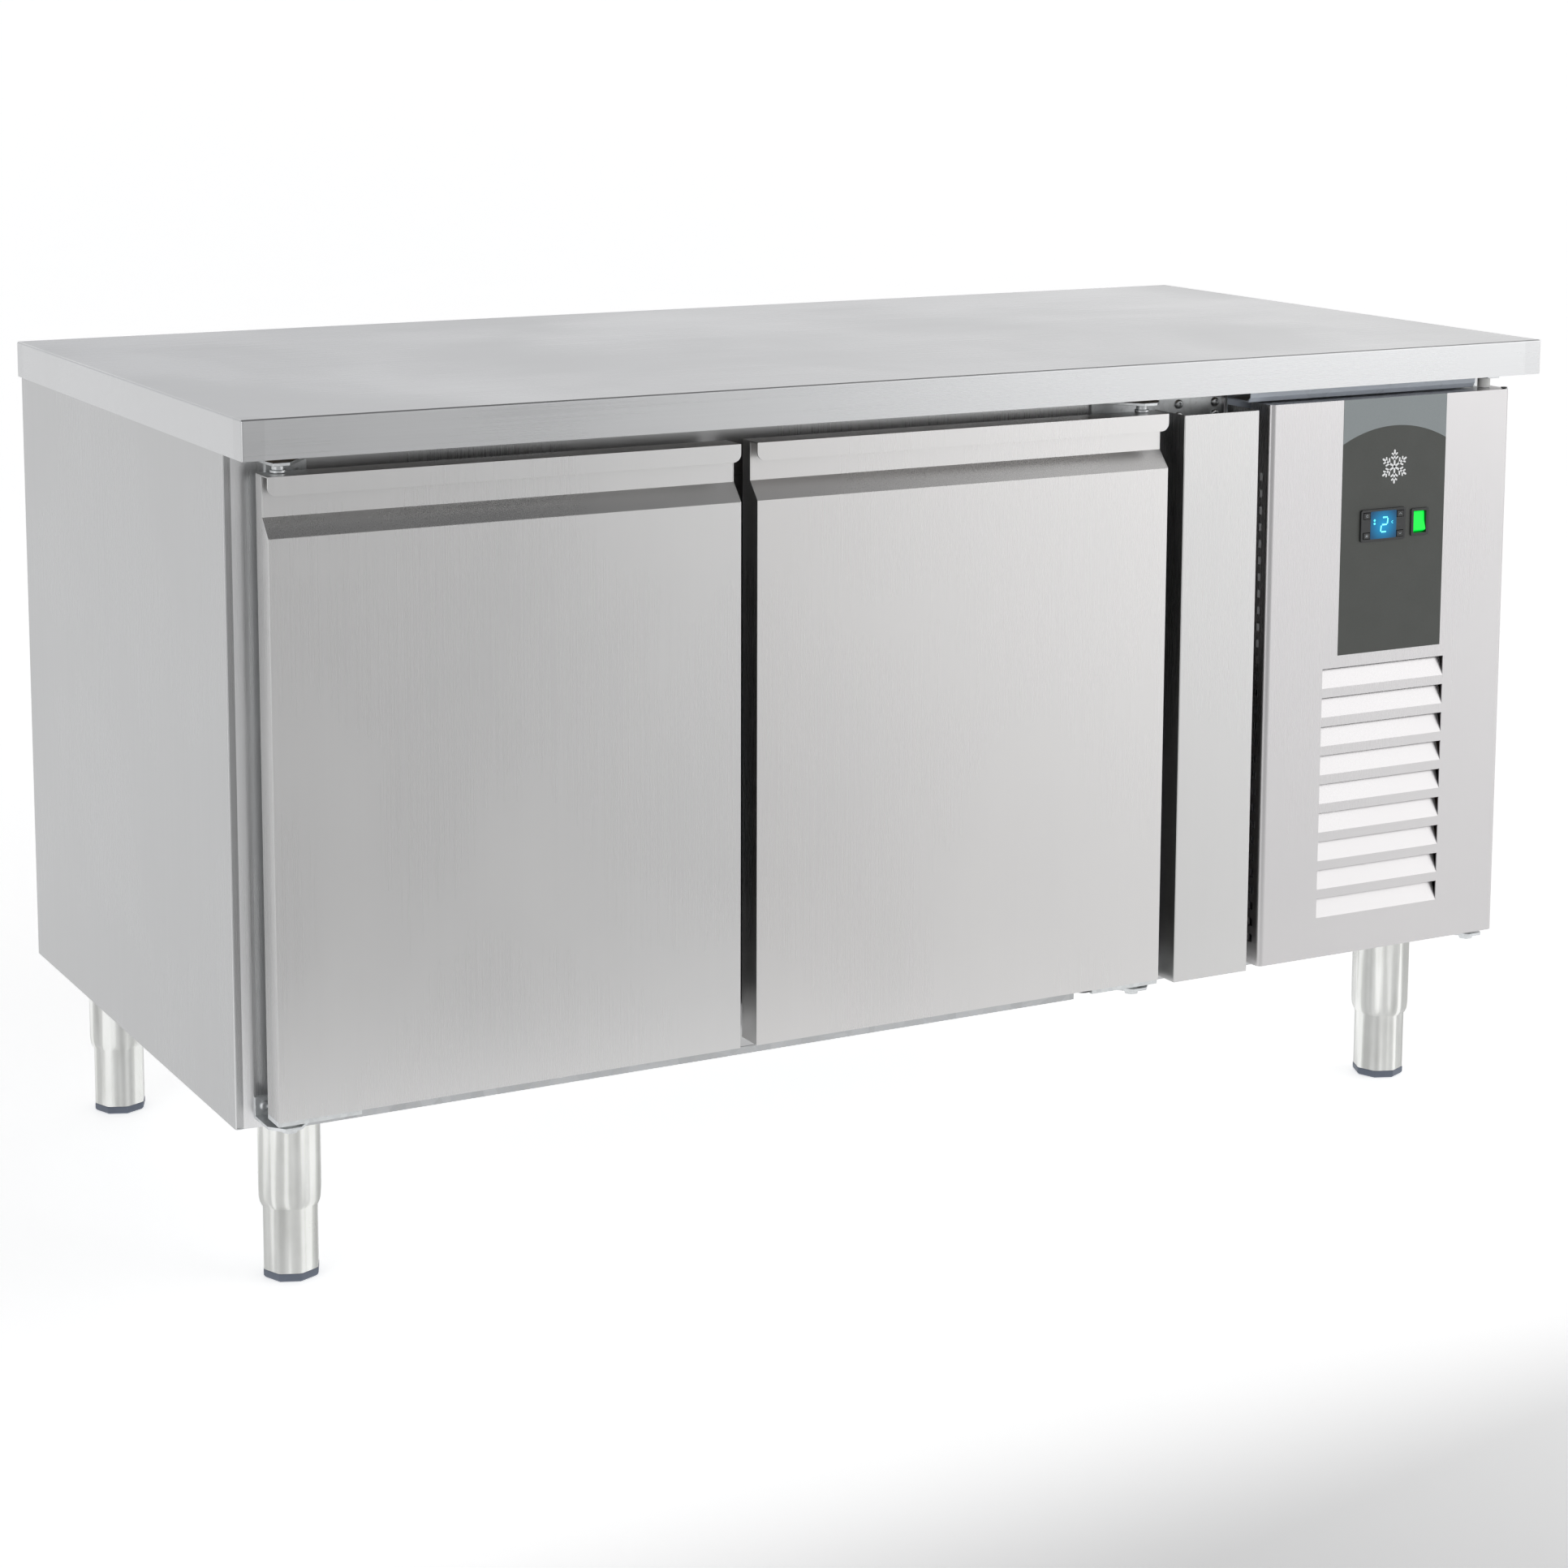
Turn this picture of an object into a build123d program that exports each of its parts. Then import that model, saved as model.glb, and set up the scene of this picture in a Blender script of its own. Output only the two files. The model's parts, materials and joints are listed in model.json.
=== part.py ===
from build123d import *
import math
import os

# Two-door undercounter refrigerator with a service compartment at its right end.
# Millimetres. X runs along the front, -Y is the front, +Z is up.
# The origin is on the floor, under the middle of the worktop.

# ---- driving dimensions -------------------------------------------------
WIDTH = 1420.0
DEPTH = 690.0
HEIGHT = 810.0
EDGE = 36.0                      # height of the worktop's folded edge
SHEET = 1.2                      # stainless sheet
TOP_SHEET = 1.5                  # worktop sheet
TOP_LIP = 16.0                   # returned lip under the worktop's edge
TOP_CORNER, TOP_ROLL = 2.0, 1.9  # rounding of its upright corners and its upper edges
BOARD = 18.0                     # stiffening board under the worktop

CAB_LEFT = -707.0
CAB_RIGHT = 680.0
CAB_FRONT = -285.0
CAB_BACK = 341.0
CAB_BOTTOM = 163.0
CAB_TOP = HEIGHT - EDGE
COLD_END = 353.0                 # outer face of the wall between cold and service spaces

WALL = 54.0                      # insulated walls
FLOOR = 49.0
CEILING = 45.0
FRAME_DEPTH = 30.0               # front frame that the door seals close on
LINER = 1.0
BASE_LIP, BASE_LIP_END = 6.0, 181.0    # fold that hangs from the base's front edge
SIDE_RETURN = 14.0               # front fold of the right side panel
TRAY_SHEET = 2.0
TRAY_LIP = 22.0                  # upturned front edge of the machine tray

GRILLE_SLOT = (116.0, 8.0)       # width and height of one slot
GRILLE_COLUMN = 72.0             # slot centres from the middle of the grille
GRILLE_FIRST, GRILLE_PITCH, GRILLE_ROWS = 330.0, 24.0, 14

DOOR_FRONT = -342.0
DOOR_BOTTOM = 184.0
DOOR_TOP = 759.0
DOOR_WIDTH = 457.0
DOOR_LEFTS = {"left": -686.5, "right": -212.5}
PAN_DEPTH = 30.0                 # outer door pan
PAN_BACK = DOOR_FRONT + PAN_DEPTH
LINER_DEPTH = 12.0               # inner door panel behind the pan
PAN_RETURN = 12.0
PLUG_FIT = 0.2                   # round the foam where it passes the pan's return
LINER_EDGE, LINER_CORNER = 9.0, 6.0
LINER_SKIN = 1.5
SEAL_INSET = 20.0
SEAL_WIDTH = 16.0
SEAL_GAP = 0.4                   # between the closed seal and the frame

GRIP_DEPTH = 15.0                # recess behind the handle's lip
GRIP_SLOPE_BOTTOM = 705.0
GRIP_SLOPE_TOP = 722.0
GRIP_SHIFT = 0.45                # keeps the slope's sheet one sheet thick
LIP_HEIGHT = 17.0
LIP_CORNER = 8.0

PIVOT_IN = 17.5                  # hinge axis from the hinged edge
PIVOT_Y = -320.0
PIN_R = 4.0
PIN_FIT = 0.05
CLEAR_R = 5.6                    # clearance holes round a hinge pin
WASHER_R, WASHER_PLAY = 6.5, 0.3
NUT_R, NUT_H = 6.5, 5.0
PIN_GRIP = 12.0                  # how far a pin reaches into the door's lower end
PIN_GRIP_TOP = 14.0
HINGE_PLATE = 4.5
HINGE_PLATE_LENGTH = 78.0
TOP_PLATE_INSET, TOP_PLATE_LENGTH, TOP_PLATE = 1.2, 58.8, 4.0
BRACKET = 3.0
BOTTOM_BRACKET_Z = DOOR_BOTTOM - HINGE_PLATE - 4.5 - BRACKET
TOP_BRACKET_Z = DOOR_TOP + 7.5
ARM_OUTER, ARM_INNER = 21.0, 38.0      # reach of a bracket to either side of its pin
ARM_TIP_OUTER, ARM_TIP_INNER = 9.0, 6.0
ARM_NOSE = 14.0                        # how far the arm reaches past the pin
SLIM_OUTER = 10.0                      # the top left bracket stays behind its door
SHORT_INNER = 14.0                     # the cover's top bracket ends beside the rail's brow
LEG_UP, LEG_DOWN = 20.0, 26.0          # height of the lower and upper bracket legs
TOP_LEG_END = 345.5                    # right end of the leg behind the filler panel
COVER_LEG_DOWN, COVER_LEG_END = 24.0, 672.0
HEAD_R, HEAD_H = 4.6, 2.6              # screw heads
SOCKET_R, SOCKET_DEPTH = 2.0, 1.6
SMALL_HEAD_R, SMALL_HEAD_H = 3.0, 2.0

RAIL = 1.5                       # sheet of the rail over the service space
RAIL_RIGHT, RAIL_DROP, RAIL_FLANGE = 673.0, 30.0, 30.0
RAIL_FLANGE_RIGHT = 664.0
BROW, BROW_END = 39.0, 640.0     # how far the rail stands forward over the service cover
BROW_GAP = 1.5                   # above the closed cover
BROW_UPRIGHT, BROW_LEAN = 7.5, 4.0     # upright part of its front, and how far the rest leans back

FILLER_LEFT, FILLER_RIGHT = 263.5, 353.5
FILLER_BOTTOM, FILLER_TOP = 178.0, 756.0
FILLER_ROUND = 1.0

COVER_LEFT, COVER_RIGHT = 368.0, 673.5
COVER_BOTTOM, COVER_TOP = 180.0, 760.0
COVER_FLANGE = 34.0
COVER_BEND = 6.0
COVER_RETURN = 12.0
VENT_HOLE = 8.0
VENT_PITCH = 17.1
VENT_COUNT = 29
VENT_FIRST = 207.0
VENT_Y = -326.0

LOUVRE_LEFT, LOUVRE_RIGHT = 440.0, 595.5
LOUVRE_BOTTOM = 222.0
LOUVRE_HEIGHT = 20.5
LOUVRE_PITCH = 30.2
LOUVRE_COUNT = 9
LOUVRE_LEAN = 7.0
LOUVRE_GAP, LOUVRE_ROOT = 1.5, 1.0

LABEL_LEFT, LABEL_RIGHT = 458.6, 590.0
LABEL_BOTTOM = 496.7
LABEL_THICK = 0.3
LABEL_FACE = DOOR_FRONT - LABEL_THICK
CONTROL_LEFT, CONTROL_RIGHT = 482.3, 539.3
CONTROL_BOTTOM, CONTROL_TOP = 612.2, 645.6
CONTROL_ROUND, CONTROL_PROUD = 2.5, 2.0
CONTROL_CUT, CONTROL_CASE = 2.0, 2.5   # panel cutout and case, in from the bezel's edge
CONTROL_LENGTH = 52.0
KEY_W, KEY_H = 8.0, 6.0
KEY_IN_X, KEY_IN_Z = 3.2, 3.4
KEY_PLAY, KEY_WELL = 0.4, 0.6
KEY_PROUD, KEY_THICK = 0.4, 2.0
SWITCH_LEFT, SWITCH_RIGHT = 547.0, 569.4
SWITCH_BOTTOM, SWITCH_TOP = 614.4, 642.8
SWITCH_ROUND, SWITCH_PROUD = 1.5, 1.6
SWITCH_CUT, SWITCH_CASE = 1.5, 1.8
SWITCH_LENGTH = 24.0
ROCKER_R = 11.0
ROCKER_W = 15.4
ROCKER_TILT = 9.0
ROCKER_PLAY = 0.4
ROCKER_FACE, ROCKER_DISH = 6.2, 1.2
ROCKER_X = (SWITCH_LEFT + SWITCH_RIGHT) / 2
ROCKER_Y = DOOR_FRONT + 5.5
ROCKER_Z = (SWITCH_BOTTOM + SWITCH_TOP) / 2

LEG_XS = {"left": -639.0, "right": 612.0}
LEG_YS = {"front": -233.0, "rear": 289.0}
SLEEVE_AF = 57.0                 # across the flats of the octagon
TUBE_AF = 49.6
SLEEVE_BOTTOM = 70.0
SLEEVE_TAPER = 14.0
SLEEVE_NECK = 3.4                # how much wider its lower end is than the tube
SLEEVE_PLAY, SLEEVE_CAP = 0.9, 4.0
FOOT_TOP = 120.0
TUBE_WALL = 1.5
GLIDE = 8.0
GLIDE_LAP, GLIDE_BEVEL, GLIDE_IN = 0.4, 2.0, 3.6
GLIDE_PLUG = 22.0

POST = 12.0
POST_FRONTS, POST_DEPTH = (-232.0, 224.0), 24.0
POST_SLOTS, POST_SLOT_PITCH, POST_SLOT_FIRST = 12, 38.0, 40.0
POST_SLOT = (8.0, 14.0)
SHELF_Z = 455.0
SHELF_THICK = 6.0
SHELF_Y = (-236.0, 250.0)
SHELF_SIDE, SHELF_RIM, SHELF_BARS = 3.0, 6.0, 14
RUNNER_Y = (-240.0, 256.0)
RUNNER_W, RUNNER_H = 14.0, 8.0

OPEN_BOTTOM = DOOR_BOTTOM + SEAL_INSET + SEAL_WIDTH + 2.0
OPEN_TOP = DOOR_TOP - SEAL_INSET - SEAL_WIDTH - 2.0
OPEN_MARGIN = SEAL_INSET + SEAL_WIDTH + 0.5
COLD_LEFT = CAB_LEFT + SHEET
INNER_LEFT = COLD_LEFT + WALL
INNER_RIGHT = COLD_END - 48.0
INNER_FRONT = CAB_FRONT + FRAME_DEPTH
INNER_BACK = CAB_BACK - SHEET - WALL
INNER_BOTTOM = CAB_BOTTOM + SHEET + FLOOR
INNER_TOP = CAB_TOP - CEILING
PIPE_YZ = (200.0, 620.0)         # hole through the wall between the two spaces
PIPE_HOLE_R = 14.0

EVAP_X = (222.0, INNER_RIGHT - LINER)
EVAP_Y = (-170.0, 250.0)
EVAP_Z = (250.0, INNER_TOP - LINER)
EVAP_SLOTS, EVAP_SLOT_PITCH, EVAP_SLOT_FIRST = 6, 18.0, 26.0
EVAP_SLOT_H, EVAP_SLOT_SIDE = 8.0, 40.0
EVAP_COIL_X, EVAP_COIL_TOP, EVAP_COIL_IN = (240.0, 296.0), 500.0, 20.0
FAN_YZ = (40.0, 620.0)           # evaporator fan axis
FAN_R, FAN_HUB_R, FAN_PLAY = 75.0, 24.0, 5.0
FAN_X, FAN_SHAFT_END = (232.0, 254.0), 261.4
FAN_MOTOR_R, FAN_MOTOR_X = 36.0, (262.0, 296.0)
FAN_PLATE, FAN_PLATE_Y, FAN_PLATE_Z = 3.0, 60.0, 45.0
FAN_STAY_Y = 12.0
BLADE, BLADES, BLADE_ROOT, BLADE_WIDE = 1.6, 5, 2.0, 0.62
SHAFT_R = 4.0
FIN_GAPS, FIN_GAP, FIN_SPINE = 18, 10.0, 8.0

TRAY_TOP = CAB_BOTTOM + TRAY_SHEET
COMPRESSOR_XY = (565.0, 150.0)
CAN_R, CAN_H, CAN_ROUND = 72.0, 108.0, 30.0
DOME_R, DOME_TOP, DOME_H, DOME_ROUND = 70.0, 164.0, 92.0, 34.0
SEAM_R, SEAM_H, SEAM_Z = 75.0, 8.0, 92.0
MOUNT_H, MOUNT_R, MOUNT_BORE_R = 14.0, 12.0, 4.0
MOUNT_REACH = (80.0, 36.0)
BASE_REACH, BASE_SHEET = (95.0, 50.0), 9.0
TERMINALS_X, TERMINALS_Y, TERMINALS_Z = 22.0, (-96.0, -60.0), (62.0, 112.0)
COIL_X, COIL_Y, COIL_Z = (392.0, 652.0), (-214.0, -160.0), (TRAY_TOP, 452.0)
SHROUD = 46.0
BLOWER_XZ = (522.0, 315.0)       # condenser fan axis
BLOWER_R, BLOWER_HUB_R, BLOWER_PLAY = 105.0, 30.0, 6.0
BLOWER_HALF, BLOWER_SHAFT_END = 14.0, 30.6
BLOWER_MIDDLE = COIL_Y[1] + 27.0
BLOWER_MOTOR_R, BLOWER_MOTOR_Y = 42.0, (COIL_Y[1] + 58.0, COIL_Y[1] + 120.0)
BOX_X, BOX_Y, BOX_TOP, BOX_ROUND = (372.0, 452.0), (60.0, 260.0), 292.0, 4.0
DRIER_YZ, DRIER_X, DRIER_R, DRIER_ROUND = (10.0, 480.0), (430.0, 530.0), 14.0, 8.0
SUCTION_R, PIPE_R = 4.8, 3.2
GLAND_XZ = (400.0, 250.0)
GLAND_R, GLAND_FLANGE_R = 8.0, 13.0
GLAND_THREAD, GLAND_NUT = 14.0, 6.0
CORD_R = 4.5


# ---- helpers ------------------------------------------------------------
def slab(x, y, z):
    """A box from its two limits along each axis."""
    size = [high - low for low, high in (x, y, z)]
    middle = [(high + low) / 2 for low, high in (x, y, z)]
    return Pos(*middle) * Box(*size)


def rod(centre, radius, span, axis="Z"):
    """A cylinder along an axis; centre holds the other two coordinates in X, Y, Z order."""
    length = span[1] - span[0]
    middle = (span[0] + span[1]) / 2
    if axis == "Z":
        return Pos(centre[0], centre[1], middle) * Cylinder(radius, length)
    if axis == "Y":
        return Pos(centre[0], middle, centre[1]) * Rot(90, 0, 0) * Cylinder(radius, length)
    return Pos(middle, centre[0], centre[1]) * Rot(0, 90, 0) * Cylinder(radius, length)


def octagon(across_flats, z0, z1, top_flats=None):
    """An eight-sided prism with a corner on each axis; top_flats makes it taper."""
    radius = across_flats / 2 / math.cos(math.pi / 8)
    low = Plane.XY.offset(z0) * RegularPolygon(radius, 8)
    if top_flats is None:
        return extrude(low, z1 - z0)
    top_radius = top_flats / 2 / math.cos(math.pi / 8)
    return loft([low, Plane.XY.offset(z1) * RegularPolygon(top_radius, 8)])


def side_profile(points, x0, x1):
    """Extrudes a closed outline of (y, z) points from x0 to x1."""
    face = make_face(Polyline(*[(x0, y, z) for y, z in points], close=True))
    return extrude(face, x1 - x0, dir=(1, 0, 0))


def plan_profile(points, z0, z1):
    """Extrudes a closed outline of (x, y) points from z0 to z1."""
    face = make_face(Polyline(*[(x, y, z0) for x, y in points], close=True))
    return extrude(face, z1 - z0, dir=(0, 0, 1))


def tube(points, radius, bend):
    """A round pipe along straight runs joined by arcs."""
    path = FilletPolyline(*points, radius=bend)
    start = Plane(origin=path @ 0, z_dir=path % 0)
    return sweep(start * Circle(radius), path)


def group(*solids):
    """Separate solids that share one node."""
    return Compound(children=list(solids))


def save(name, shape):
    """Writes one sub-part."""
    export_step(shape, f"parts/{name}.step")


# ---- worktop ------------------------------------------------------------
def worktop_skin():
    x, y = WIDTH / 2, DEPTH / 2
    shell = slab((-x, x), (-y, y), (CAB_TOP, HEIGHT))
    shell = fillet(shell.edges().filter_by(Axis.Z), TOP_CORNER)
    shell = fillet(shell.faces().sort_by(Axis.Z)[-1].edges(), TOP_ROLL)
    inside = (-x + TOP_SHEET, x - TOP_SHEET), (-y + TOP_SHEET, y - TOP_SHEET)
    lip = (-x + TOP_LIP, x - TOP_LIP), (-y + TOP_LIP, y - TOP_LIP)
    shell -= slab(*inside, (CAB_TOP + TOP_SHEET, HEIGHT - TOP_SHEET))
    return shell - slab(*lip, (CAB_TOP, CAB_TOP + TOP_SHEET))


def worktop_board():
    x, y = WIDTH / 2 - TOP_SHEET, DEPTH / 2 - TOP_SHEET
    top = HEIGHT - TOP_SHEET
    return slab((-x, x), (-y, y), (top - BOARD, top))


# ---- cabinet shell ------------------------------------------------------
def left_side_panel():
    side = slab((CAB_LEFT, COLD_LEFT), (CAB_FRONT, CAB_BACK), (CAB_BOTTOM, CAB_TOP))
    edge = DOOR_LEFTS["left"] + OPEN_MARGIN
    front = slab((CAB_LEFT, edge), (CAB_FRONT, CAB_FRONT + SHEET), (CAB_BOTTOM, CAB_TOP))
    return side + front


def right_side_panel():
    inner = CAB_RIGHT - SHEET
    side = slab((inner, CAB_RIGHT), (CAB_FRONT, CAB_BACK), (CAB_BOTTOM, CAB_TOP))
    return_y = (CAB_FRONT, CAB_FRONT + SHEET)
    return side + slab((inner - SIDE_RETURN, inner), return_y, (CAB_BOTTOM + TRAY_LIP, CAB_TOP))


def back_panel():
    y = CAB_BACK - SHEET, CAB_BACK
    return slab((COLD_LEFT, COLD_END + SHEET), y, (CAB_BOTTOM, CAB_TOP))


def rear_grille():
    x = COLD_END + SHEET, CAB_RIGHT - SHEET
    y = CAB_BACK - SHEET, CAB_BACK
    panel = slab(x, y, (CAB_BOTTOM, CAB_TOP))
    middle = (x[0] + x[1]) / 2
    wide, tall = GRILLE_SLOT
    for column in (middle - GRILLE_COLUMN, middle + GRILLE_COLUMN):
        for row in range(GRILLE_ROWS):
            z = GRILLE_FIRST + GRILLE_PITCH * row
            panel -= slab((column - wide / 2, column + wide / 2), y, (z, z + tall))
    return panel - rod(GLAND_XZ, GLAND_R, y, "Y")


def base_panel():
    y = CAB_FRONT + SHEET, CAB_BACK - SHEET
    base = slab((COLD_LEFT, COLD_END), y, (CAB_BOTTOM, CAB_BOTTOM + SHEET))
    lip_x = DOOR_LEFTS["left"] + OPEN_MARGIN, BASE_LIP_END
    base += slab(lip_x, (CAB_FRONT, CAB_FRONT + SHEET), (CAB_BOTTOM - BASE_LIP, CAB_BOTTOM + SHEET))
    wall_x = COLD_END, COLD_END + SHEET
    wall = slab(wall_x, y, (CAB_BOTTOM, CAB_TOP))
    return base + wall - rod(PIPE_YZ, PIPE_HOLE_R, wall_x, "X")


def machine_tray():
    x = COLD_END + SHEET, CAB_RIGHT - SHEET
    y = CAB_FRONT, CAB_BACK - SHEET
    base = slab(x, y, (CAB_BOTTOM, TRAY_TOP))
    return base + slab(x, (CAB_FRONT, CAB_FRONT + TRAY_SHEET), (CAB_BOTTOM, CAB_BOTTOM + TRAY_LIP))


def insulation():
    y = INNER_FRONT, CAB_BACK - SHEET
    x = COLD_LEFT, COLD_END
    tall = INNER_BOTTOM, INNER_TOP
    divider = slab((INNER_RIGHT, COLD_END), y, tall)
    divider -= rod(PIPE_YZ, PIPE_HOLE_R, (INNER_RIGHT, COLD_END), "X")
    return group(
        slab(x, y, (CAB_BOTTOM + SHEET, INNER_BOTTOM)),
        slab(x, y, (INNER_TOP, CAB_TOP)),
        slab((COLD_LEFT, INNER_LEFT), y, tall),
        divider,
        slab((INNER_LEFT, INNER_RIGHT), (INNER_BACK, y[1]), tall),
    )


def liner():
    x, y, z = (INNER_LEFT, INNER_RIGHT), (INNER_FRONT, INNER_BACK), (INNER_BOTTOM, INNER_TOP)
    inside = [(low + LINER, high - LINER) for low, high in (x, y, z)]
    inside[1] = (y[0], y[1] - LINER)
    shell = slab(x, y, z) - slab(*inside)
    return shell - rod(PIPE_YZ, PIPE_HOLE_R, (x[1] - LINER, x[1]), "X")


def channel(x, y, z):
    """A folded channel that is open towards the back."""
    inside_x = x[0] + SHEET, x[1] - SHEET
    inside_z = z[0] + SHEET, z[1] - SHEET
    return slab(x, y, z) - slab(inside_x, (y[0] + SHEET, y[1]), inside_z)


def front_frame():
    y = CAB_FRONT, INNER_FRONT
    low = CAB_BOTTOM + SHEET, OPEN_BOTTOM
    high = OPEN_TOP, CAB_TOP
    tall = OPEN_BOTTOM, OPEN_TOP
    first = DOOR_LEFTS["left"] + OPEN_MARGIN
    second = DOOR_LEFTS["left"] + DOOR_WIDTH - OPEN_MARGIN
    third = DOOR_LEFTS["right"] + OPEN_MARGIN
    last = DOOR_LEFTS["right"] + DOOR_WIDTH - OPEN_MARGIN
    side_y = CAB_FRONT + SHEET, INNER_FRONT
    return group(
        channel((COLD_LEFT, first), side_y, (CAB_BOTTOM + SHEET, CAB_TOP)),
        channel((first, COLD_END), y, low),
        channel((first, COLD_END), y, high),
        channel((second, third), y, tall),
        channel((last, COLD_END), y, tall),
    )


def filler_panel():
    x = FILLER_LEFT, FILLER_RIGHT
    y = DOOR_FRONT, CAB_FRONT
    z = FILLER_BOTTOM, FILLER_TOP
    pan = slab(x, y, z)
    pan = fillet(pan.faces().sort_by(Axis.Y)[0].edges().filter_by(Axis.Z), FILLER_ROUND)
    hollow = slab((x[0] + SHEET, x[1] - SHEET), (y[0] + SHEET, y[1]), (z[0] + SHEET, z[1]))
    notch = slab(x, (y[1] - BRACKET - 1, y[1]), (TOP_BRACKET_Z - LEG_DOWN - 2, z[1]))
    return pan - hollow - notch


def machine_top_rail():
    """A folded rail whose brow closes the gap between the service cover and the worktop."""
    x = COLD_END + SHEET, RAIL_RIGHT
    face = slab(x, (CAB_FRONT - RAIL, CAB_FRONT), (CAB_TOP - RAIL_DROP, CAB_TOP))
    flange_y = CAB_FRONT, CAB_FRONT + RAIL_FLANGE
    flange = slab((x[0], RAIL_FLANGE_RIGHT), flange_y, (CAB_TOP - RAIL, CAB_TOP))
    root, low = CAB_FRONT - RAIL, COVER_TOP + BROW_GAP
    nose, bend = root - BROW, CAB_TOP - BROW_UPRIGHT
    lean = nose + BROW_LEAN
    brow = side_profile([
        (root, low), (lean, low), (nose, bend), (nose, CAB_TOP),
        (nose + RAIL, CAB_TOP), (nose + RAIL, bend), (lean + RAIL, low + RAIL), (root, low + RAIL),
    ], x[0], BROW_END)
    return face + flange + brow


# ---- door hinges --------------------------------------------------------
def pivot_x(side):
    if side == "left":
        return DOOR_LEFTS["left"] + PIVOT_IN
    if side == "right":
        return DOOR_LEFTS["right"] + DOOR_WIDTH - PIVOT_IN
    return COVER_RIGHT - PIVOT_IN


def arm(side, inner, z, root, outer=ARM_OUTER, reach=ARM_INNER):
    """A bracket arm that narrows towards the hinge pin; inner points to the door's middle."""
    x = pivot_x(side)
    nose = PIVOT_Y - ARM_NOSE
    points = [
        (x - inner * outer, root), (x - inner * outer, PIVOT_Y), (x - inner * ARM_TIP_OUTER, nose),
        (x + inner * ARM_TIP_INNER, nose), (x + inner * (reach - 4), root - ARM_NOSE),
        (x + inner * reach, root),
    ]
    plate = plan_profile(points, z, z + BRACKET)
    return plate - rod((x, PIVOT_Y), PIN_R, (z, z + BRACKET))


def leg(x, z, root=CAB_FRONT):
    """The upright part of a bracket, flat against the frame."""
    return slab(sorted(x), (root - BRACKET, root), z)


def hinge_brackets():
    low, high = BOTTOM_BRACKET_Z, TOP_BRACKET_Z
    low_z, high_z = (low, low + LEG_UP), (high - LEG_DOWN, high + BRACKET)
    left, right, cover = (pivot_x(side) for side in ("left", "right", "cover"))
    rail_face = CAB_FRONT - RAIL
    cover_high = CAB_TOP - BRACKET
    cover_outer = COVER_LEG_END - cover
    return group(
        arm("left", 1, low, CAB_FRONT) + leg((left - ARM_OUTER, left + ARM_INNER), low_z),
        arm("left", 1, high, CAB_FRONT, SLIM_OUTER) + leg((left, left + ARM_INNER), high_z),
        arm("right", -1, low, CAB_FRONT) + leg((right - ARM_INNER, right + ARM_OUTER), low_z),
        arm("right", -1, high, CAB_FRONT) + leg((right - ARM_INNER, TOP_LEG_END), high_z),
        arm("cover", -1, low, CAB_FRONT, cover_outer) + leg((cover - ARM_INNER, COVER_LEG_END), low_z),
        arm("cover", -1, cover_high, rail_face, cover_outer, SHORT_INNER)
        + leg((cover - SHORT_INNER, COVER_LEG_END), (CAB_TOP - COVER_LEG_DOWN, CAB_TOP), rail_face),
    )


def hinge_pins():
    pins = []
    low = BOTTOM_BRACKET_Z
    for side in ("left", "right", "cover"):
        at = (pivot_x(side), PIVOT_Y)
        rest = COVER_BOTTOM if side == "cover" else DOOR_BOTTOM - HINGE_PLATE
        pin = rod(at, PIN_R, (low, DOOR_BOTTOM + PIN_GRIP))
        pin += rod(at, WASHER_R, (low + BRACKET, rest - WASHER_PLAY))
        nut = Plane(origin=(*at, low - NUT_H)) * RegularPolygon(NUT_R, 6)
        pins.append(pin + extrude(nut, NUT_H))
        if side == "cover":
            end, collar = CAB_TOP, (COVER_TOP + WASHER_PLAY, CAB_TOP - BRACKET)
        else:
            end, collar = TOP_BRACKET_Z + BRACKET, (DOOR_TOP + WASHER_PLAY, DOOR_TOP + 3)
        pin = rod(at, PIN_R, (DOOR_TOP - PIN_GRIP_TOP, end))
        pins.append(pin + rod(at, WASHER_R, collar))
    return group(*pins)


def frame_screws():
    """Pan-head screws that hold the brackets; each stands on its bracket's leg."""
    heads = []
    low, high = BOTTOM_BRACKET_Z + 11.5, TOP_BRACKET_Z - 14
    left, right, cover = (pivot_x(side) for side in ("left", "right", "cover"))
    spots = [(left - 12, low), (left + 28, low), (right - 28, low), (right + 12, low)]
    spots += [(cover - 28, low), (cover + 10, low), (left + 10, high), (left + 28, high)]
    spots += [(x, high + dz) for x in (293.0, 337.0) for dz in (-5, 7)]
    face = CAB_FRONT - BRACKET
    for at in spots:
        head = rod(at, HEAD_R, (face - HEAD_H, face), "Y")
        heads.append(head - rod(at, SOCKET_R, (face - HEAD_H, face - HEAD_H + SOCKET_DEPTH), "Y"))
    for z in (CAB_TOP - 7, CAB_TOP - 18):
        seat = face - RAIL
        heads.append(rod((COVER_RIGHT - 7, z), SMALL_HEAD_R, (seat - SMALL_HEAD_H, seat), "Y"))
    return group(*heads)


# ---- doors --------------------------------------------------------------
def door_outline(inset):
    """The door pan's side outline, set in from the outer skin."""
    front = DOOR_FRONT + inset
    recess = DOOR_FRONT + GRIP_DEPTH + inset
    shift = inset * GRIP_SHIFT
    return [
        (front, DOOR_BOTTOM + inset), (front, GRIP_SLOPE_BOTTOM - shift),
        (recess, GRIP_SLOPE_TOP - shift), (recess, DOOR_TOP - SHEET),
        (PAN_BACK, DOOR_TOP - SHEET), (PAN_BACK, DOOR_BOTTOM + inset),
    ]


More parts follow.
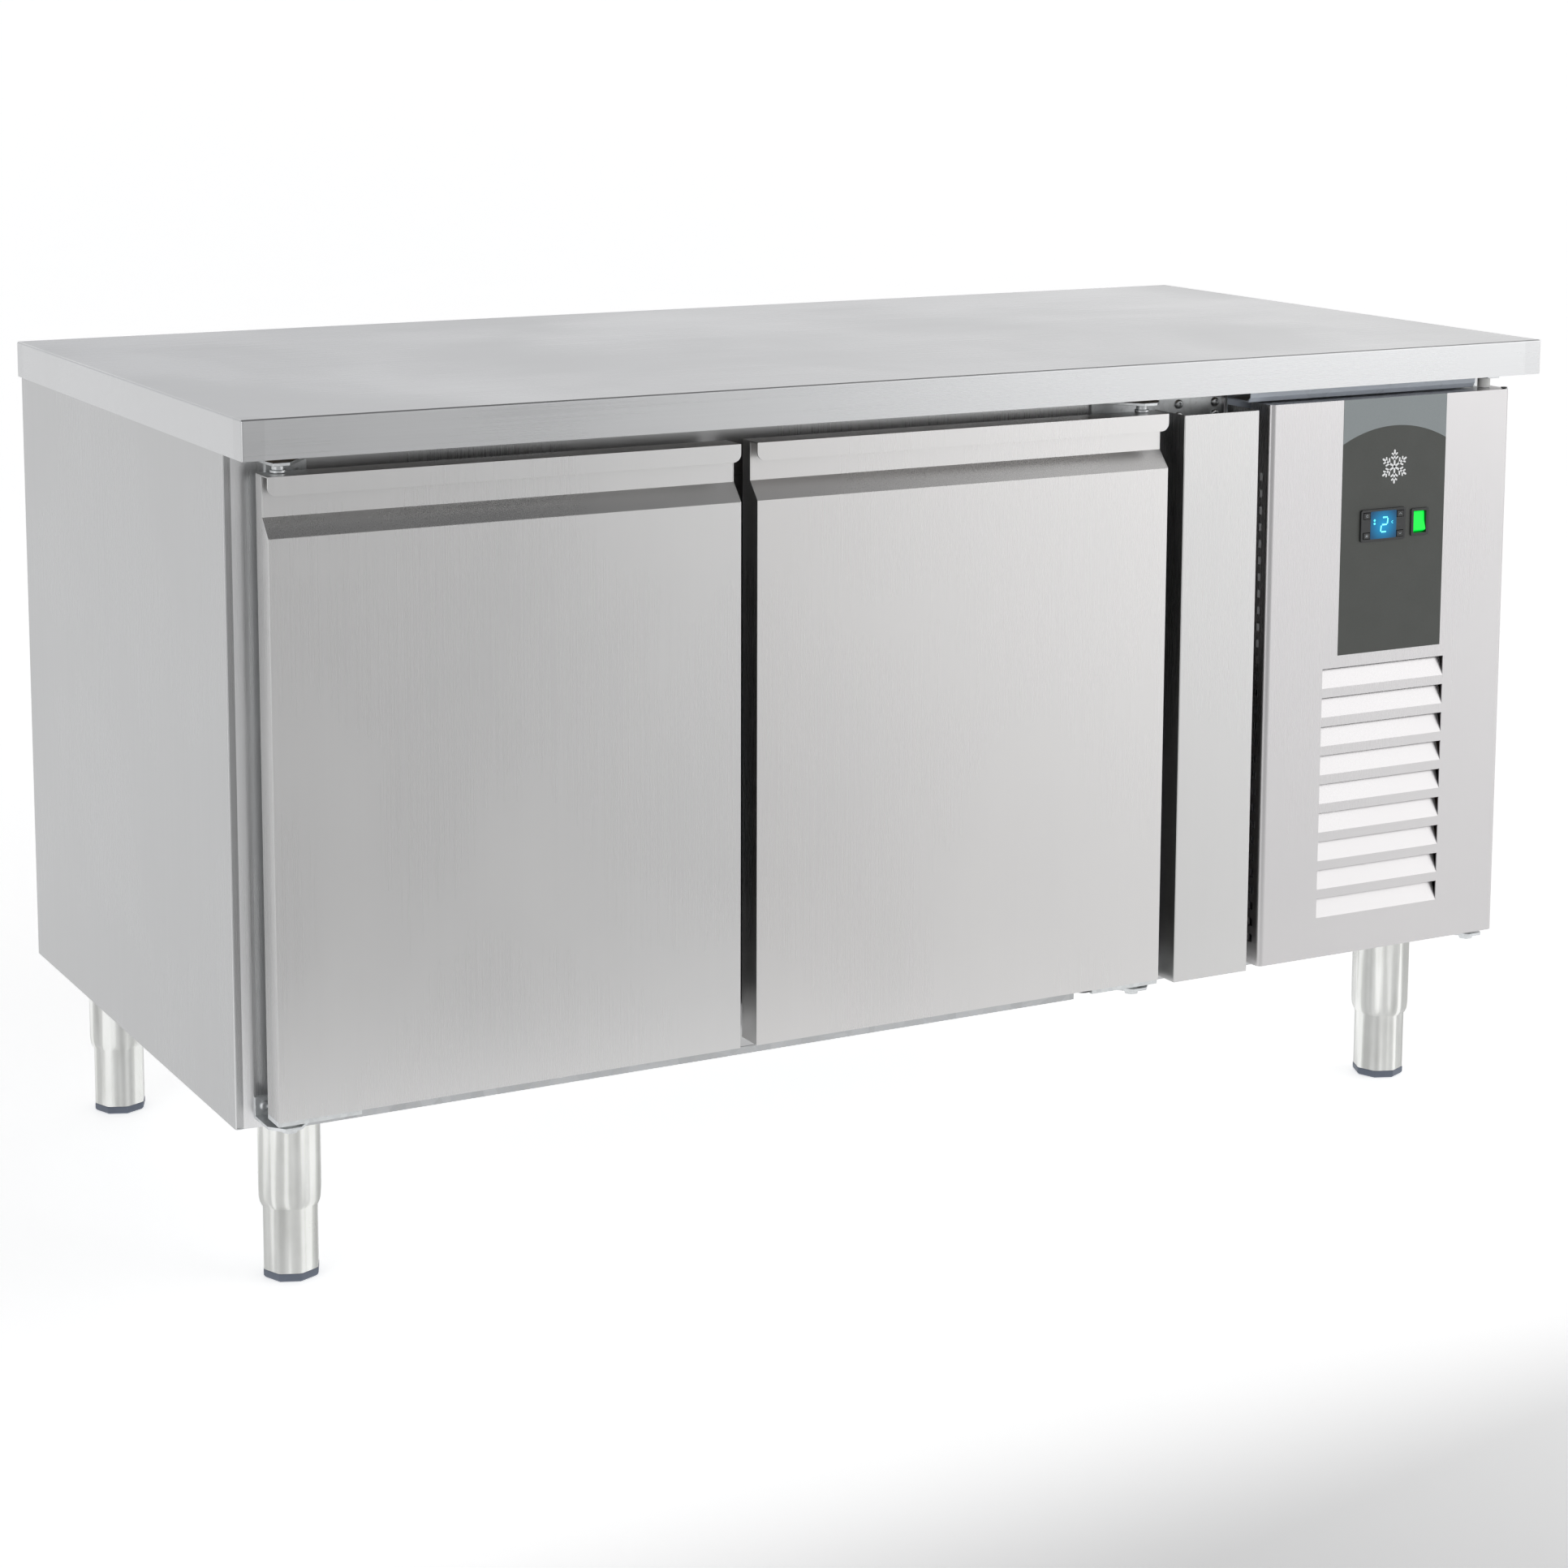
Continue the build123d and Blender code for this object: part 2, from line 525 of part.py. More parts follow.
def door_shell(x0, x1):
    """The folded pan, open at the back apart from a return all round."""
    outer = side_profile(door_outline(0), x0, x1)
    inner = side_profile(door_outline(SHEET), x0 + SHEET, x1 - SHEET)
    back = PAN_BACK - SHEET, PAN_BACK
    inner -= slab((x0, x1), back, (DOOR_BOTTOM, DOOR_TOP))
    window_x = x0 + PAN_RETURN, x1 - PAN_RETURN
    window_z = DOOR_BOTTOM + PAN_RETURN, DOOR_TOP - PAN_RETURN
    return outer - inner - slab(window_x, back, window_z)


def grip_zone(x0, x1):
    """The part of the pan that is the handle's own folded strip."""
    top = DOOR_TOP - SHEET
    return slab((x0 + SHEET, x1 - SHEET), (DOOR_FRONT, PAN_BACK - SHEET), (GRIP_SLOPE_BOTTOM, top))


def pin_holes(side):
    at = (pivot_x(side), PIVOT_Y)
    low = rod(at, CLEAR_R, (DOOR_BOTTOM, DOOR_BOTTOM + PIN_GRIP + 4))
    return low + rod(at, CLEAR_R, (DOOR_TOP - PIN_GRIP_TOP - 6, DOOR_TOP))


def door_skin(side, x0, x1):
    return door_shell(x0, x1) - grip_zone(x0, x1) - pin_holes(side)


def door_handle(side, x0, x1):
    strip = door_shell(x0, x1) & grip_zone(x0, x1)
    cap = slab((x0, x1), (DOOR_FRONT, PAN_BACK), (DOOR_TOP - SHEET, DOOR_TOP))
    lip = slab((x0, x1), (DOOR_FRONT, DOOR_FRONT + SHEET), (DOOR_TOP - LIP_HEIGHT, DOOR_TOP))
    corners = lip.edges().filter_by(Axis.Y).sort_by(Axis.Z)[:2]
    handle = strip + cap + fillet(corners, LIP_CORNER)
    return handle - pin_holes(side)


def foam_plug(x0, x1, y):
    """The block that passes through the window in the pan's return."""
    inset = PAN_RETURN + PLUG_FIT
    return slab((x0 + inset, x1 - inset), y, (DOOR_BOTTOM + inset, DOOR_TOP - inset))


def door_core(side, x0, x1):
    foam = side_profile(door_outline(SHEET), x0 + SHEET, x1 - SHEET)
    foam -= slab((x0, x1), (PAN_BACK - SHEET, PAN_BACK), (DOOR_BOTTOM, DOOR_TOP))
    foam -= door_hinge_plates(side, x0, x1)
    plug = foam_plug(x0, x1, (PAN_BACK - SHEET, PAN_BACK + LINER_DEPTH - LINER_SKIN))
    return foam + plug - pin_holes(side)


def door_liner(x0, x1):
    deep = PAN_BACK, PAN_BACK + LINER_DEPTH
    z = DOOR_BOTTOM + LINER_EDGE, DOOR_TOP - LINER_EDGE
    panel = slab((x0 + LINER_EDGE, x1 - LINER_EDGE), deep, z)
    panel = fillet(panel.edges().filter_by(Axis.Y), LINER_CORNER)
    return panel - foam_plug(x0, x1, (deep[0], deep[1] - LINER_SKIN))


def door_gasket(x0, x1):
    y = PAN_BACK + LINER_DEPTH, CAB_FRONT - SEAL_GAP
    x = x0 + SEAL_INSET, x1 - SEAL_INSET
    z = DOOR_BOTTOM + SEAL_INSET, DOOR_TOP - SEAL_INSET
    inner_z = z[0] + SEAL_WIDTH, z[1] - SEAL_WIDTH
    return group(
        slab((x[0], x[0] + SEAL_WIDTH), y, inner_z),
        slab((x[1] - SEAL_WIDTH, x[1]), y, inner_z),
        slab(x, y, (z[0], inner_z[0])),
        slab(x, y, (inner_z[1], z[1])),
    )


def door_hinge_plates(side, x0, x1):
    """A plate under the door and one inside its top, each with a bore for the pin."""
    at = (pivot_x(side), PIVOT_Y)
    if side == "left":
        low_x = x0, x0 + HINGE_PLATE_LENGTH
        high_x = x0 + TOP_PLATE_INSET, x0 + TOP_PLATE_INSET + TOP_PLATE_LENGTH
    else:
        low_x = x1 - HINGE_PLATE_LENGTH, x1
        high_x = x1 - TOP_PLATE_INSET - TOP_PLATE_LENGTH, x1 - TOP_PLATE_INSET
    low = slab(low_x, (DOOR_FRONT + 2, PAN_BACK), (DOOR_BOTTOM - HINGE_PLATE, DOOR_BOTTOM))
    top = DOOR_TOP - SHEET
    high_y = DOOR_FRONT + GRIP_DEPTH + SHEET, PAN_BACK - SHEET
    high = slab(high_x, high_y, (top - TOP_PLATE, top))
    hole = rod(at, PIN_R + PIN_FIT, (DOOR_BOTTOM - HINGE_PLATE, DOOR_TOP))
    return group(low - hole, high - hole)


# ---- service cover and controls ----------------------------------------
def cover_panel():
    x, z = (COVER_LEFT, COVER_RIGHT), (COVER_BOTTOM, COVER_TOP)
    y = DOOR_FRONT, DOOR_FRONT + COVER_FLANGE
    pan = slab(x, y, z)
    front_edges = pan.faces().sort_by(Axis.Y)[0].edges().filter_by(Axis.Z)
    pan = fillet(front_edges, COVER_BEND)
    hollow = slab(*[(low + SHEET, high - SHEET) for low, high in (x, y, z)])
    front_edges = hollow.faces().sort_by(Axis.Y)[0].edges().filter_by(Axis.Z)
    hollow = fillet(front_edges, COVER_BEND - SHEET)
    window_x = x[0] + COVER_RETURN, x[1] - COVER_RETURN
    window_z = z[0] + SHEET, z[1] - SHEET
    pan -= hollow
    pan -= slab(window_x, (y[1] - SHEET, y[1]), window_z)
    for i in range(VENT_COUNT):
        middle = VENT_FIRST + i * VENT_PITCH
        hole_y = VENT_Y - VENT_HOLE / 2, VENT_Y + VENT_HOLE / 2
        hole_z = middle - VENT_HOLE / 2, middle + VENT_HOLE / 2
        pan -= slab((x[0], x[0] + SHEET), hole_y, hole_z)
    for i in range(LOUVRE_COUNT):
        pan = louvre(pan, LOUVRE_BOTTOM + i * LOUVRE_PITCH)
    at = (pivot_x("cover"), PIVOT_Y)
    pan -= rod(at, PIN_R + PIN_FIT, z)
    return pan - control_cutouts((DOOR_FRONT, DOOR_FRONT + SHEET))


def control_cutouts(y):
    """The two openings that the controller and the switch pass through."""
    cut = CONTROL_CUT
    first = slab((CONTROL_LEFT + cut, CONTROL_RIGHT - cut), y, (CONTROL_BOTTOM + cut, CONTROL_TOP - cut))
    cut = SWITCH_CUT
    return first + slab((SWITCH_LEFT + cut, SWITCH_RIGHT - cut), y, (SWITCH_BOTTOM + cut, SWITCH_TOP - cut))


def louvre(pan, z):
    """Cuts one slot and leaves its flap folded inwards from the lower edge."""
    x = LOUVRE_LEFT, LOUVRE_RIGHT
    face = DOOR_FRONT, DOOR_FRONT + SHEET
    pan -= slab(x, face, (z, z + LOUVRE_HEIGHT))
    top = z + LOUVRE_HEIGHT - LOUVRE_GAP
    root = z - LOUVRE_ROOT
    flap = [(face[0], z), (face[0] + LOUVRE_LEAN, top), (face[1] + LOUVRE_LEAN, top), (face[1], z)]
    return pan + side_profile([*flap, (face[1], root), (face[0], root)], *x)


def control_label():
    y = DOOR_FRONT - LABEL_THICK, DOOR_FRONT
    return slab((LABEL_LEFT, LABEL_RIGHT), y, (LABEL_BOTTOM, COVER_TOP)) - control_cutouts(y)


def key_boxes(gap=0.0):
    """Limits in X and Z of the four keys, one near each corner of the controller."""
    left, right = CONTROL_LEFT + KEY_IN_X, CONTROL_RIGHT - KEY_IN_X
    low, high = CONTROL_BOTTOM + KEY_IN_Z, CONTROL_TOP - KEY_IN_Z
    keys = {
        "set": ((left, left + KEY_W), (high - KEY_H, high)),
        "light": ((left, left + KEY_W), (low, low + KEY_H)),
        "up": ((right - KEY_W, right), (high - KEY_H, high)),
        "down": ((right - KEY_W, right), (low, low + KEY_H)),
    }
    return {
        name: ((x[0] - gap, x[1] + gap), (z[0] - gap, z[1] + gap))
        for name, (x, z) in keys.items()
    }


def cased(x, z, round_r, proud, case, length):
    """A rounded bezel on the label with a plain case behind it."""
    bezel = slab(x, (LABEL_FACE - proud, LABEL_FACE), z)
    bezel = fillet(bezel.edges().filter_by(Axis.Y), round_r)
    inner_x, inner_z = (x[0] + case, x[1] - case), (z[0] + case, z[1] - case)
    return bezel + slab(inner_x, (LABEL_FACE, LABEL_FACE + length), inner_z)


def controller():
    x, z = (CONTROL_LEFT, CONTROL_RIGHT), (CONTROL_BOTTOM, CONTROL_TOP)
    body = cased(x, z, CONTROL_ROUND, CONTROL_PROUD, CONTROL_CASE, CONTROL_LENGTH)
    for key_x, key_z in key_boxes(KEY_PLAY).values():
        body -= slab(key_x, (LABEL_FACE - CONTROL_PROUD, LABEL_FACE + KEY_WELL), key_z)
    return body


def keys():
    front = LABEL_FACE - CONTROL_PROUD - KEY_PROUD
    return {name: slab(x, (front, front + KEY_THICK), z) for name, (x, z) in key_boxes().items()}


def switch_bezel():
    x, z = (SWITCH_LEFT, SWITCH_RIGHT), (SWITCH_BOTTOM, SWITCH_TOP)
    frame = cased(x, z, SWITCH_ROUND, SWITCH_PROUD, SWITCH_CASE, SWITCH_LENGTH)
    half = ROCKER_W / 2 + ROCKER_PLAY
    pocket_x = ROCKER_X - half, ROCKER_X + half
    reach = ROCKER_R + ROCKER_PLAY
    frame -= slab(pocket_x, (LABEL_FACE - SWITCH_PROUD, ROCKER_Y), (ROCKER_Z - reach, ROCKER_Z + reach))
    return frame - rod((ROCKER_Y, ROCKER_Z), reach, pocket_x, "X")


def rocker():
    """A drum with a shallow dished face, tilted to its upper stop."""
    x = ROCKER_X - ROCKER_W / 2, ROCKER_X + ROCKER_W / 2
    drum = rod((ROCKER_Y, ROCKER_Z), ROCKER_R, x, "X")
    face, back = ROCKER_Y - ROCKER_FACE, ROCKER_Y + ROCKER_R
    low, high = ROCKER_Z - ROCKER_R, ROCKER_Z + ROCKER_R
    dish = [(face, low), (face + ROCKER_DISH, ROCKER_Z), (face, high), (back, high), (back, low)]
    cap = drum & side_profile(dish, *x)
    return cap.rotate(Axis((ROCKER_X, ROCKER_Y, ROCKER_Z), (1, 0, 0)), -ROCKER_TILT)


# ---- shelves ------------------------------------------------------------
def bay_edges():
    """Inner limits in X of the two bays, between their shelf posts."""
    margin = OPEN_MARGIN + POST + 1
    return {side: (x0 + margin, x0 + DOOR_WIDTH - margin) for side, x0 in DOOR_LEFTS.items()}


def shelf_uprights():
    z = INNER_BOTTOM + LINER, INNER_TOP - LINER
    slot_y, slot_z = POST_SLOT
    posts = []
    for left, right in bay_edges().values():
        for x in ((left - POST, left), (right, right + POST)):
            for front in POST_FRONTS:
                post = slab(x, (front, front + POST_DEPTH), z)
                first_y = front + (POST_DEPTH - slot_y) / 2
                for i in range(POST_SLOTS):
                    low = z[0] + POST_SLOT_FIRST + POST_SLOT_PITCH * i
                    post -= slab(x, (first_y, first_y + slot_y), (low, low + slot_z))
                posts.append(post)
    return group(*posts)


def shelf_runners():
    """A bar on each pair of posts that a shelf's end rests on."""
    runners = []
    for left, right in bay_edges().values():
        for x in ((left, left + RUNNER_W), (right - RUNNER_W, right)):
            runners.append(slab(x, RUNNER_Y, (SHELF_Z - RUNNER_H, SHELF_Z)))
    return group(*runners)


def wire_shelf(side):
    """A rim with bars along it; the bars' gaps run from front to back."""
    left, right = bay_edges()[side]
    x = left + SHELF_SIDE, right - SHELF_SIDE
    z = SHELF_Z, SHELF_Z + SHELF_THICK
    grid = slab(x, SHELF_Y, z)
    step = (x[1] - x[0] - SHELF_RIM) / SHELF_BARS
    middle = SHELF_RIM / 2
    for i in range(SHELF_BARS):
        hole = x[0] + SHELF_RIM + i * step, x[0] + (i + 1) * step
        for span in ((SHELF_Y[0] + SHELF_RIM, -middle), (middle, SHELF_Y[1] - SHELF_RIM)):
            grid -= slab(hole, span, z)
    return grid


# ---- cooling inside the cold space --------------------------------------
def evaporator_housing():
    shell = slab(EVAP_X, EVAP_Y, EVAP_Z)
    inside = (EVAP_X[0] + SHEET, EVAP_X[1]), (EVAP_Y[0] + SHEET, EVAP_Y[1] - SHEET)
    shell -= slab(*inside, (EVAP_Z[0] + SHEET, EVAP_Z[1]))
    face = EVAP_X[0], EVAP_X[0] + SHEET
    shell -= rod(FAN_YZ, FAN_R + FAN_PLAY, face, "X")
    slot_y = EVAP_Y[0] + EVAP_SLOT_SIDE, EVAP_Y[1] - EVAP_SLOT_SIDE
    for i in range(EVAP_SLOTS):
        z = EVAP_Z[0] + EVAP_SLOT_FIRST + EVAP_SLOT_PITCH * i
        shell -= slab(face, slot_y, (z, z + EVAP_SLOT_H))
    return shell


def evaporator_coil():
    """A finned block, with fewer and thicker fins than the real coil."""
    y = EVAP_Y[0] + EVAP_COIL_IN, EVAP_Y[1] - EVAP_COIL_IN
    z = EVAP_Z[0] + EVAP_COIL_IN, EVAP_COIL_TOP
    block = slab(EVAP_COIL_X, y, z)
    pitch = (y[1] - y[0] - FIN_GAP) / FIN_GAPS
    for i in range(FIN_GAPS):
        gap = y[0] + FIN_GAP / 2 + (i + 0.5) * pitch
        gap_y = gap - FIN_GAP / 2, gap + FIN_GAP / 2
        block -= slab((EVAP_COIL_X[0], EVAP_COIL_X[1] - FIN_SPINE), gap_y, z)
    return block


def evaporator_motor():
    can = rod(FAN_YZ, FAN_MOTOR_R, FAN_MOTOR_X, "X")
    y, z = FAN_YZ
    back = FAN_MOTOR_X[1] + FAN_PLATE
    span = z - FAN_PLATE_Z, z + FAN_PLATE_Z
    plate = slab((FAN_MOTOR_X[1], back), (y - FAN_PLATE_Y, y + FAN_PLATE_Y), span)
    return can + plate + slab((back, EVAP_X[1]), (y - FAN_STAY_Y, y + FAN_STAY_Y), span)


def bladed(radius, hub_r, span, pitch):
    """A fan about the X axis at the origin: a hub with thin pitched blades."""
    fan = rod((0, 0), hub_r, span, "X")
    middle = (span[0] + span[1]) / 2
    for i in range(BLADES):
        blade = Pos(middle, 0, (radius + hub_r - BLADE_ROOT) / 2) * Rot(0, 0, pitch)
        blade *= Box(BLADE, radius * BLADE_WIDE, radius - hub_r + BLADE_ROOT)
        fan += Rot(360 * i / BLADES, 0, 0) * blade
    return fan & rod((0, 0), radius, (span[0] - hub_r, span[1] + hub_r), "X")


def evaporator_fan():
    fan = bladed(FAN_R, FAN_HUB_R, FAN_X, 22)
    shaft = rod((0, 0), SHAFT_R, (FAN_X[1], FAN_SHAFT_END), "X")
    return Pos(0, *FAN_YZ) * (fan + shaft)


# ---- condensing unit ----------------------------------------------------
def compressor():
    """A welded can in two halves on a base plate, with its terminal cover."""
    x, y = COMPRESSOR_XY
    floor = TRAY_TOP + MOUNT_H
    can = Pos(x, y, floor + BASE_SHEET - 1 + CAN_H / 2) * Cylinder(CAN_R, CAN_H)
    can = fillet(can.edges(), CAN_ROUND)
    dome = Pos(x, y, floor + DOME_TOP - DOME_H / 2) * Cylinder(DOME_R, DOME_H)
    dome = fillet(dome.edges(), DOME_ROUND)
    wide, deep = BASE_REACH
    plate = slab((x - wide, x + wide), (y - deep, y + deep), (floor, floor + BASE_SHEET))
    seam = Pos(x, y, floor + SEAM_Z) * Cylinder(SEAM_R, SEAM_H)
    box_y = y + TERMINALS_Y[0], y + TERMINALS_Y[1]
    box_z = floor + TERMINALS_Z[0], floor + TERMINALS_Z[1]
    box = slab((x - TERMINALS_X, x + TERMINALS_X), box_y, box_z)
    return can + dome + plate + seam + box


def compressor_mounts():
    x, y = COMPRESSOR_XY
    reach_x, reach_y = MOUNT_REACH
    span = TRAY_TOP, TRAY_TOP + MOUNT_H
    feet = []
    for dx in (-reach_x, reach_x):
        for dy in (-reach_y, reach_y):
            at = (x + dx, y + dy)
            feet.append(rod(at, MOUNT_R, span) - rod(at, MOUNT_BORE_R, span))
    return group(*feet)


def condenser_coil():
    """A finned block, with fewer and thicker fins than the real coil."""
    block = slab(COIL_X, COIL_Y, COIL_Z)
    pitch = (COIL_X[1] - COIL_X[0] - FIN_GAP) / FIN_GAPS
    for i in range(FIN_GAPS):
        gap = COIL_X[0] + FIN_GAP / 2 + (i + 0.5) * pitch
        gap_x = gap - FIN_GAP / 2, gap + FIN_GAP / 2
        block -= slab(gap_x, (COIL_Y[0], COIL_Y[1] - FIN_SPINE), COIL_Z)
    return block


def condenser_shroud():
    y = COIL_Y[1], COIL_Y[1] + SHROUD
    shell = slab(COIL_X, y, COIL_Z)
    inside = (COIL_X[0] + SHEET, COIL_X[1] - SHEET), (y[0], y[1] - SHEET)
    shell -= slab(*inside, (COIL_Z[0] + SHEET, COIL_Z[1] - SHEET))
    shell -= rod(BLOWER_XZ, BLOWER_R + BLOWER_PLAY, (y[1] - SHEET, y[1]), "Y")
    return shell


def condenser_motor():
    """A motor can on an upright and a foot."""
    x, z = BLOWER_XZ
    y = BLOWER_MOTOR_Y[0]
    can = rod(BLOWER_XZ, BLOWER_MOTOR_R, BLOWER_MOTOR_Y, "Y")
    upright = slab((x - 8, x + 8), (y + 20, y + 40), (TRAY_TOP, z))
    return can + upright + slab((x - 40, x + 40), (y + 10, y + 50), (TRAY_TOP, TRAY_TOP + 4))


def condenser_fan():
    fan = bladed(BLOWER_R, BLOWER_HUB_R, (-BLOWER_HALF, BLOWER_HALF), 24)
    shaft = rod((0, 0), SHAFT_R, (BLOWER_HALF, BLOWER_SHAFT_END), "X")
    centre = Pos(BLOWER_XZ[0], BLOWER_MIDDLE, BLOWER_XZ[1])
    return centre * Rot(0, 0, 90) * (fan + shaft)


def electrical_box():
    box = slab(BOX_X, BOX_Y, (TRAY_TOP, BOX_TOP))
    return fillet(box.edges().filter_by(Axis.Z), BOX_ROUND)


def filter_drier():
    body = rod(DRIER_YZ, DRIER_R, DRIER_X, "X")
    return fillet(body.edges(), DRIER_ROUND)


def refrigerant_lines():
    x, y = COMPRESSOR_XY
    hole_y, hole_z = PIPE_YZ
    drier_y, drier_z = DRIER_YZ
    suction_y, suction_z = hole_y + 5, hole_z + 6
    liquid_y, liquid_z = hole_y - 6, hole_z - 8
    can_top = TRAY_TOP + MOUNT_H + DOME_TOP + 0.3
    coil_x, coil_y = COIL_X[1] + 0.3, (COIL_Y[0] + COIL_Y[1]) / 2
    riser_x = COIL_X[1] + 15
    out_x, in_x = DRIER_X[0] - 26, INNER_RIGHT - 8.7
    gas_y, gas_z, liquid_low = -40, 400, 240
    suction = [
        (x + 20, y, can_top), (x + 20, y, 600), (x + 20, suction_y, suction_z),
        (in_x, suction_y, suction_z),
    ]
    discharge = [
        (x - 30, y, can_top), (x - 30, y, gas_z), (x - 30, gas_y, gas_z),
        (riser_x, gas_y, gas_z), (riser_x, coil_y, gas_z), (coil_x, coil_y, gas_z),
    ]
    liquid_in = [
        (coil_x, coil_y, liquid_low), (riser_x, coil_y, liquid_low), (riser_x, drier_y, liquid_low),
        (riser_x, drier_y, drier_z), (DRIER_X[1] + 0.2, drier_y, drier_z),
    ]
    liquid_out = [
        (DRIER_X[0] - 0.2, drier_y, drier_z), (out_x, drier_y, drier_z), (out_x, drier_y, liquid_z),
        (out_x, liquid_y, liquid_z), (in_x, liquid_y, liquid_z),
    ]
    return group(
        tube(suction, SUCTION_R, 14), tube(discharge, PIPE_R, 7),
        tube(liquid_in, PIPE_R, 7), tube(liquid_out, PIPE_R, 12),
    )


def cable_gland():
    """The gland that the supply cord passes through, in the rear grille."""
    inside = CAB_BACK - SHEET
    origin = (GLAND_XZ[0], CAB_BACK, GLAND_XZ[1])
    outer = Plane(origin=origin, z_dir=(0, 1, 0)) * RegularPolygon(GLAND_FLANGE_R, 6)
    gland = extrude(outer, DEPTH / 2 - CAB_BACK - 0.2)
    gland += rod(GLAND_XZ, GLAND_R, (inside - GLAND_THREAD, CAB_BACK), "Y")
    gland += rod(GLAND_XZ, GLAND_FLANGE_R, (inside - GLAND_NUT, inside), "Y")
    return gland - rod(GLAND_XZ, CORD_R, (inside - GLAND_THREAD, DEPTH / 2), "Y")


# ---- legs ---------------------------------------------------------------
def leg_sleeves():
    """An octagonal sleeve for each foot, swaged in at its lower end."""
    top = SLEEVE_BOTTOM + SLEEVE_TAPER
    sleeve = octagon(SLEEVE_AF, top, CAB_BOTTOM)
    sleeve += octagon(TUBE_AF + SLEEVE_NECK, SLEEVE_BOTTOM, top, SLEEVE_AF)
    sleeve -= octagon(TUBE_AF + SLEEVE_PLAY, SLEEVE_BOTTOM, CAB_BOTTOM - SLEEVE_CAP)
    return group(*[Pos(x, y, 0) * sleeve for x in LEG_XS.values() for y in LEG_YS.values()])


def foot(x, y):
    """A tube that slides in the sleeve, and the glide plugged into its lower end."""
    bore = TUBE_AF - 2 * TUBE_WALL
    tube_part = octagon(TUBE_AF, GLIDE, FOOT_TOP) - octagon(bore, GLIDE, FOOT_TOP)
    wide = TUBE_AF + GLIDE_LAP
    glide = octagon(wide, GLIDE_BEVEL, GLIDE) + octagon(TUBE_AF - GLIDE_IN, 0, GLIDE_BEVEL, wide)
    glide += octagon(bore, GLIDE, GLIDE + GLIDE_PLUG)
    return group(Pos(x, y, 0) * tube_part, Pos(x, y, 0) * glide)


# ---- write every sub-part -----------------------------------------------
os.makedirs("parts", exist_ok=True)

PLAIN = [
    worktop_skin, worktop_board, left_side_panel, right_side_panel, back_panel, rear_grille,
    base_panel, machine_tray, insulation, liner, front_frame, filler_panel,
    machine_top_rail, hinge_brackets, hinge_pins, frame_screws, cover_panel, control_label,
    controller, switch_bezel, rocker, shelf_uprights, shelf_runners, evaporator_housing,
    evaporator_coil, evaporator_motor, evaporator_fan, compressor, compressor_mounts,
    condenser_coil, condenser_shroud, condenser_motor, condenser_fan, electrical_box,
    filter_drier, refrigerant_lines, cable_gland, leg_sleeves,
]
for make in PLAIN:
    save(make.__name__, make())
for name, key in keys().items():
    save(f"key_{name}", key)
for side, x0 in DOOR_LEFTS.items():
    x1 = x0 + DOOR_WIDTH
    save(f"{side}_door_skin", door_skin(side, x0, x1))
    save(f"{side}_door_handle", door_handle(side, x0, x1))
    save(f"{side}_door_core", door_core(side, x0, x1))
    save(f"{side}_door_liner", door_liner(x0, x1))
    save(f"{side}_door_gasket", door_gasket(x0, x1))
    save(f"{side}_door_hinge_plates", door_hinge_plates(side, x0, x1))
    save(f"wire_shelf_{side}", wire_shelf(side))
for depth, y in LEG_YS.items():
    for side, x in LEG_XS.items():
        save(f"foot_{depth}_{side}", foot(x, y))
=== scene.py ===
import json
import math

import bmesh
import bpy
from mathutils import Matrix, Vector

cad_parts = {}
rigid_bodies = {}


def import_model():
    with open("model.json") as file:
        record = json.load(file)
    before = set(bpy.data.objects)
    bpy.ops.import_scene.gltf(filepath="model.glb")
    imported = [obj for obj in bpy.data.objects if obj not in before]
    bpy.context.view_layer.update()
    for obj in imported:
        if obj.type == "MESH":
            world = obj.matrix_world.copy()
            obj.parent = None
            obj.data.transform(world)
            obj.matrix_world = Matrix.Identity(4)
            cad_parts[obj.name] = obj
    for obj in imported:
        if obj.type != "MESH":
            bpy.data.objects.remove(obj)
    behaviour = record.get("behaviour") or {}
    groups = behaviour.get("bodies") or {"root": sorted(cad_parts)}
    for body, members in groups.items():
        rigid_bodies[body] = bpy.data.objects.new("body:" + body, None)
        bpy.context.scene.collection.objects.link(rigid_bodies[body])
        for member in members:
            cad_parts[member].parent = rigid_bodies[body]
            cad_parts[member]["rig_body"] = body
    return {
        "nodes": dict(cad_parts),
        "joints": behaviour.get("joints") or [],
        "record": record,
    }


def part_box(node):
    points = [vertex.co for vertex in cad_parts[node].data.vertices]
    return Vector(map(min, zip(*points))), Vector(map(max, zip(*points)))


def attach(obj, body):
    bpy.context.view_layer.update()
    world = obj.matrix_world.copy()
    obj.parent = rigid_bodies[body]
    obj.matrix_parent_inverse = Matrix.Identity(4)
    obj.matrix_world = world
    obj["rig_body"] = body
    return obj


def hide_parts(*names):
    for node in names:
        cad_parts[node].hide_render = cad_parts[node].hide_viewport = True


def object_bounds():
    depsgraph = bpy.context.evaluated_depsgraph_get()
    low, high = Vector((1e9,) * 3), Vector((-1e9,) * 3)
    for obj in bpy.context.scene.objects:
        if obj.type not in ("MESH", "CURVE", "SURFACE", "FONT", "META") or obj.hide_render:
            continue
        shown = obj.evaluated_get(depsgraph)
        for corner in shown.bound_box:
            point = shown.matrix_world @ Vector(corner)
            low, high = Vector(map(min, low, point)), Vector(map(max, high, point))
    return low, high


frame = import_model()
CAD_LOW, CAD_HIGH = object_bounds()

# Two-door undercounter refrigerator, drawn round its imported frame. Metres, -Y is the front.
MM = 0.001
NODES = frame["nodes"]


def scene_objects():
    return bpy.context.scene.collection.objects


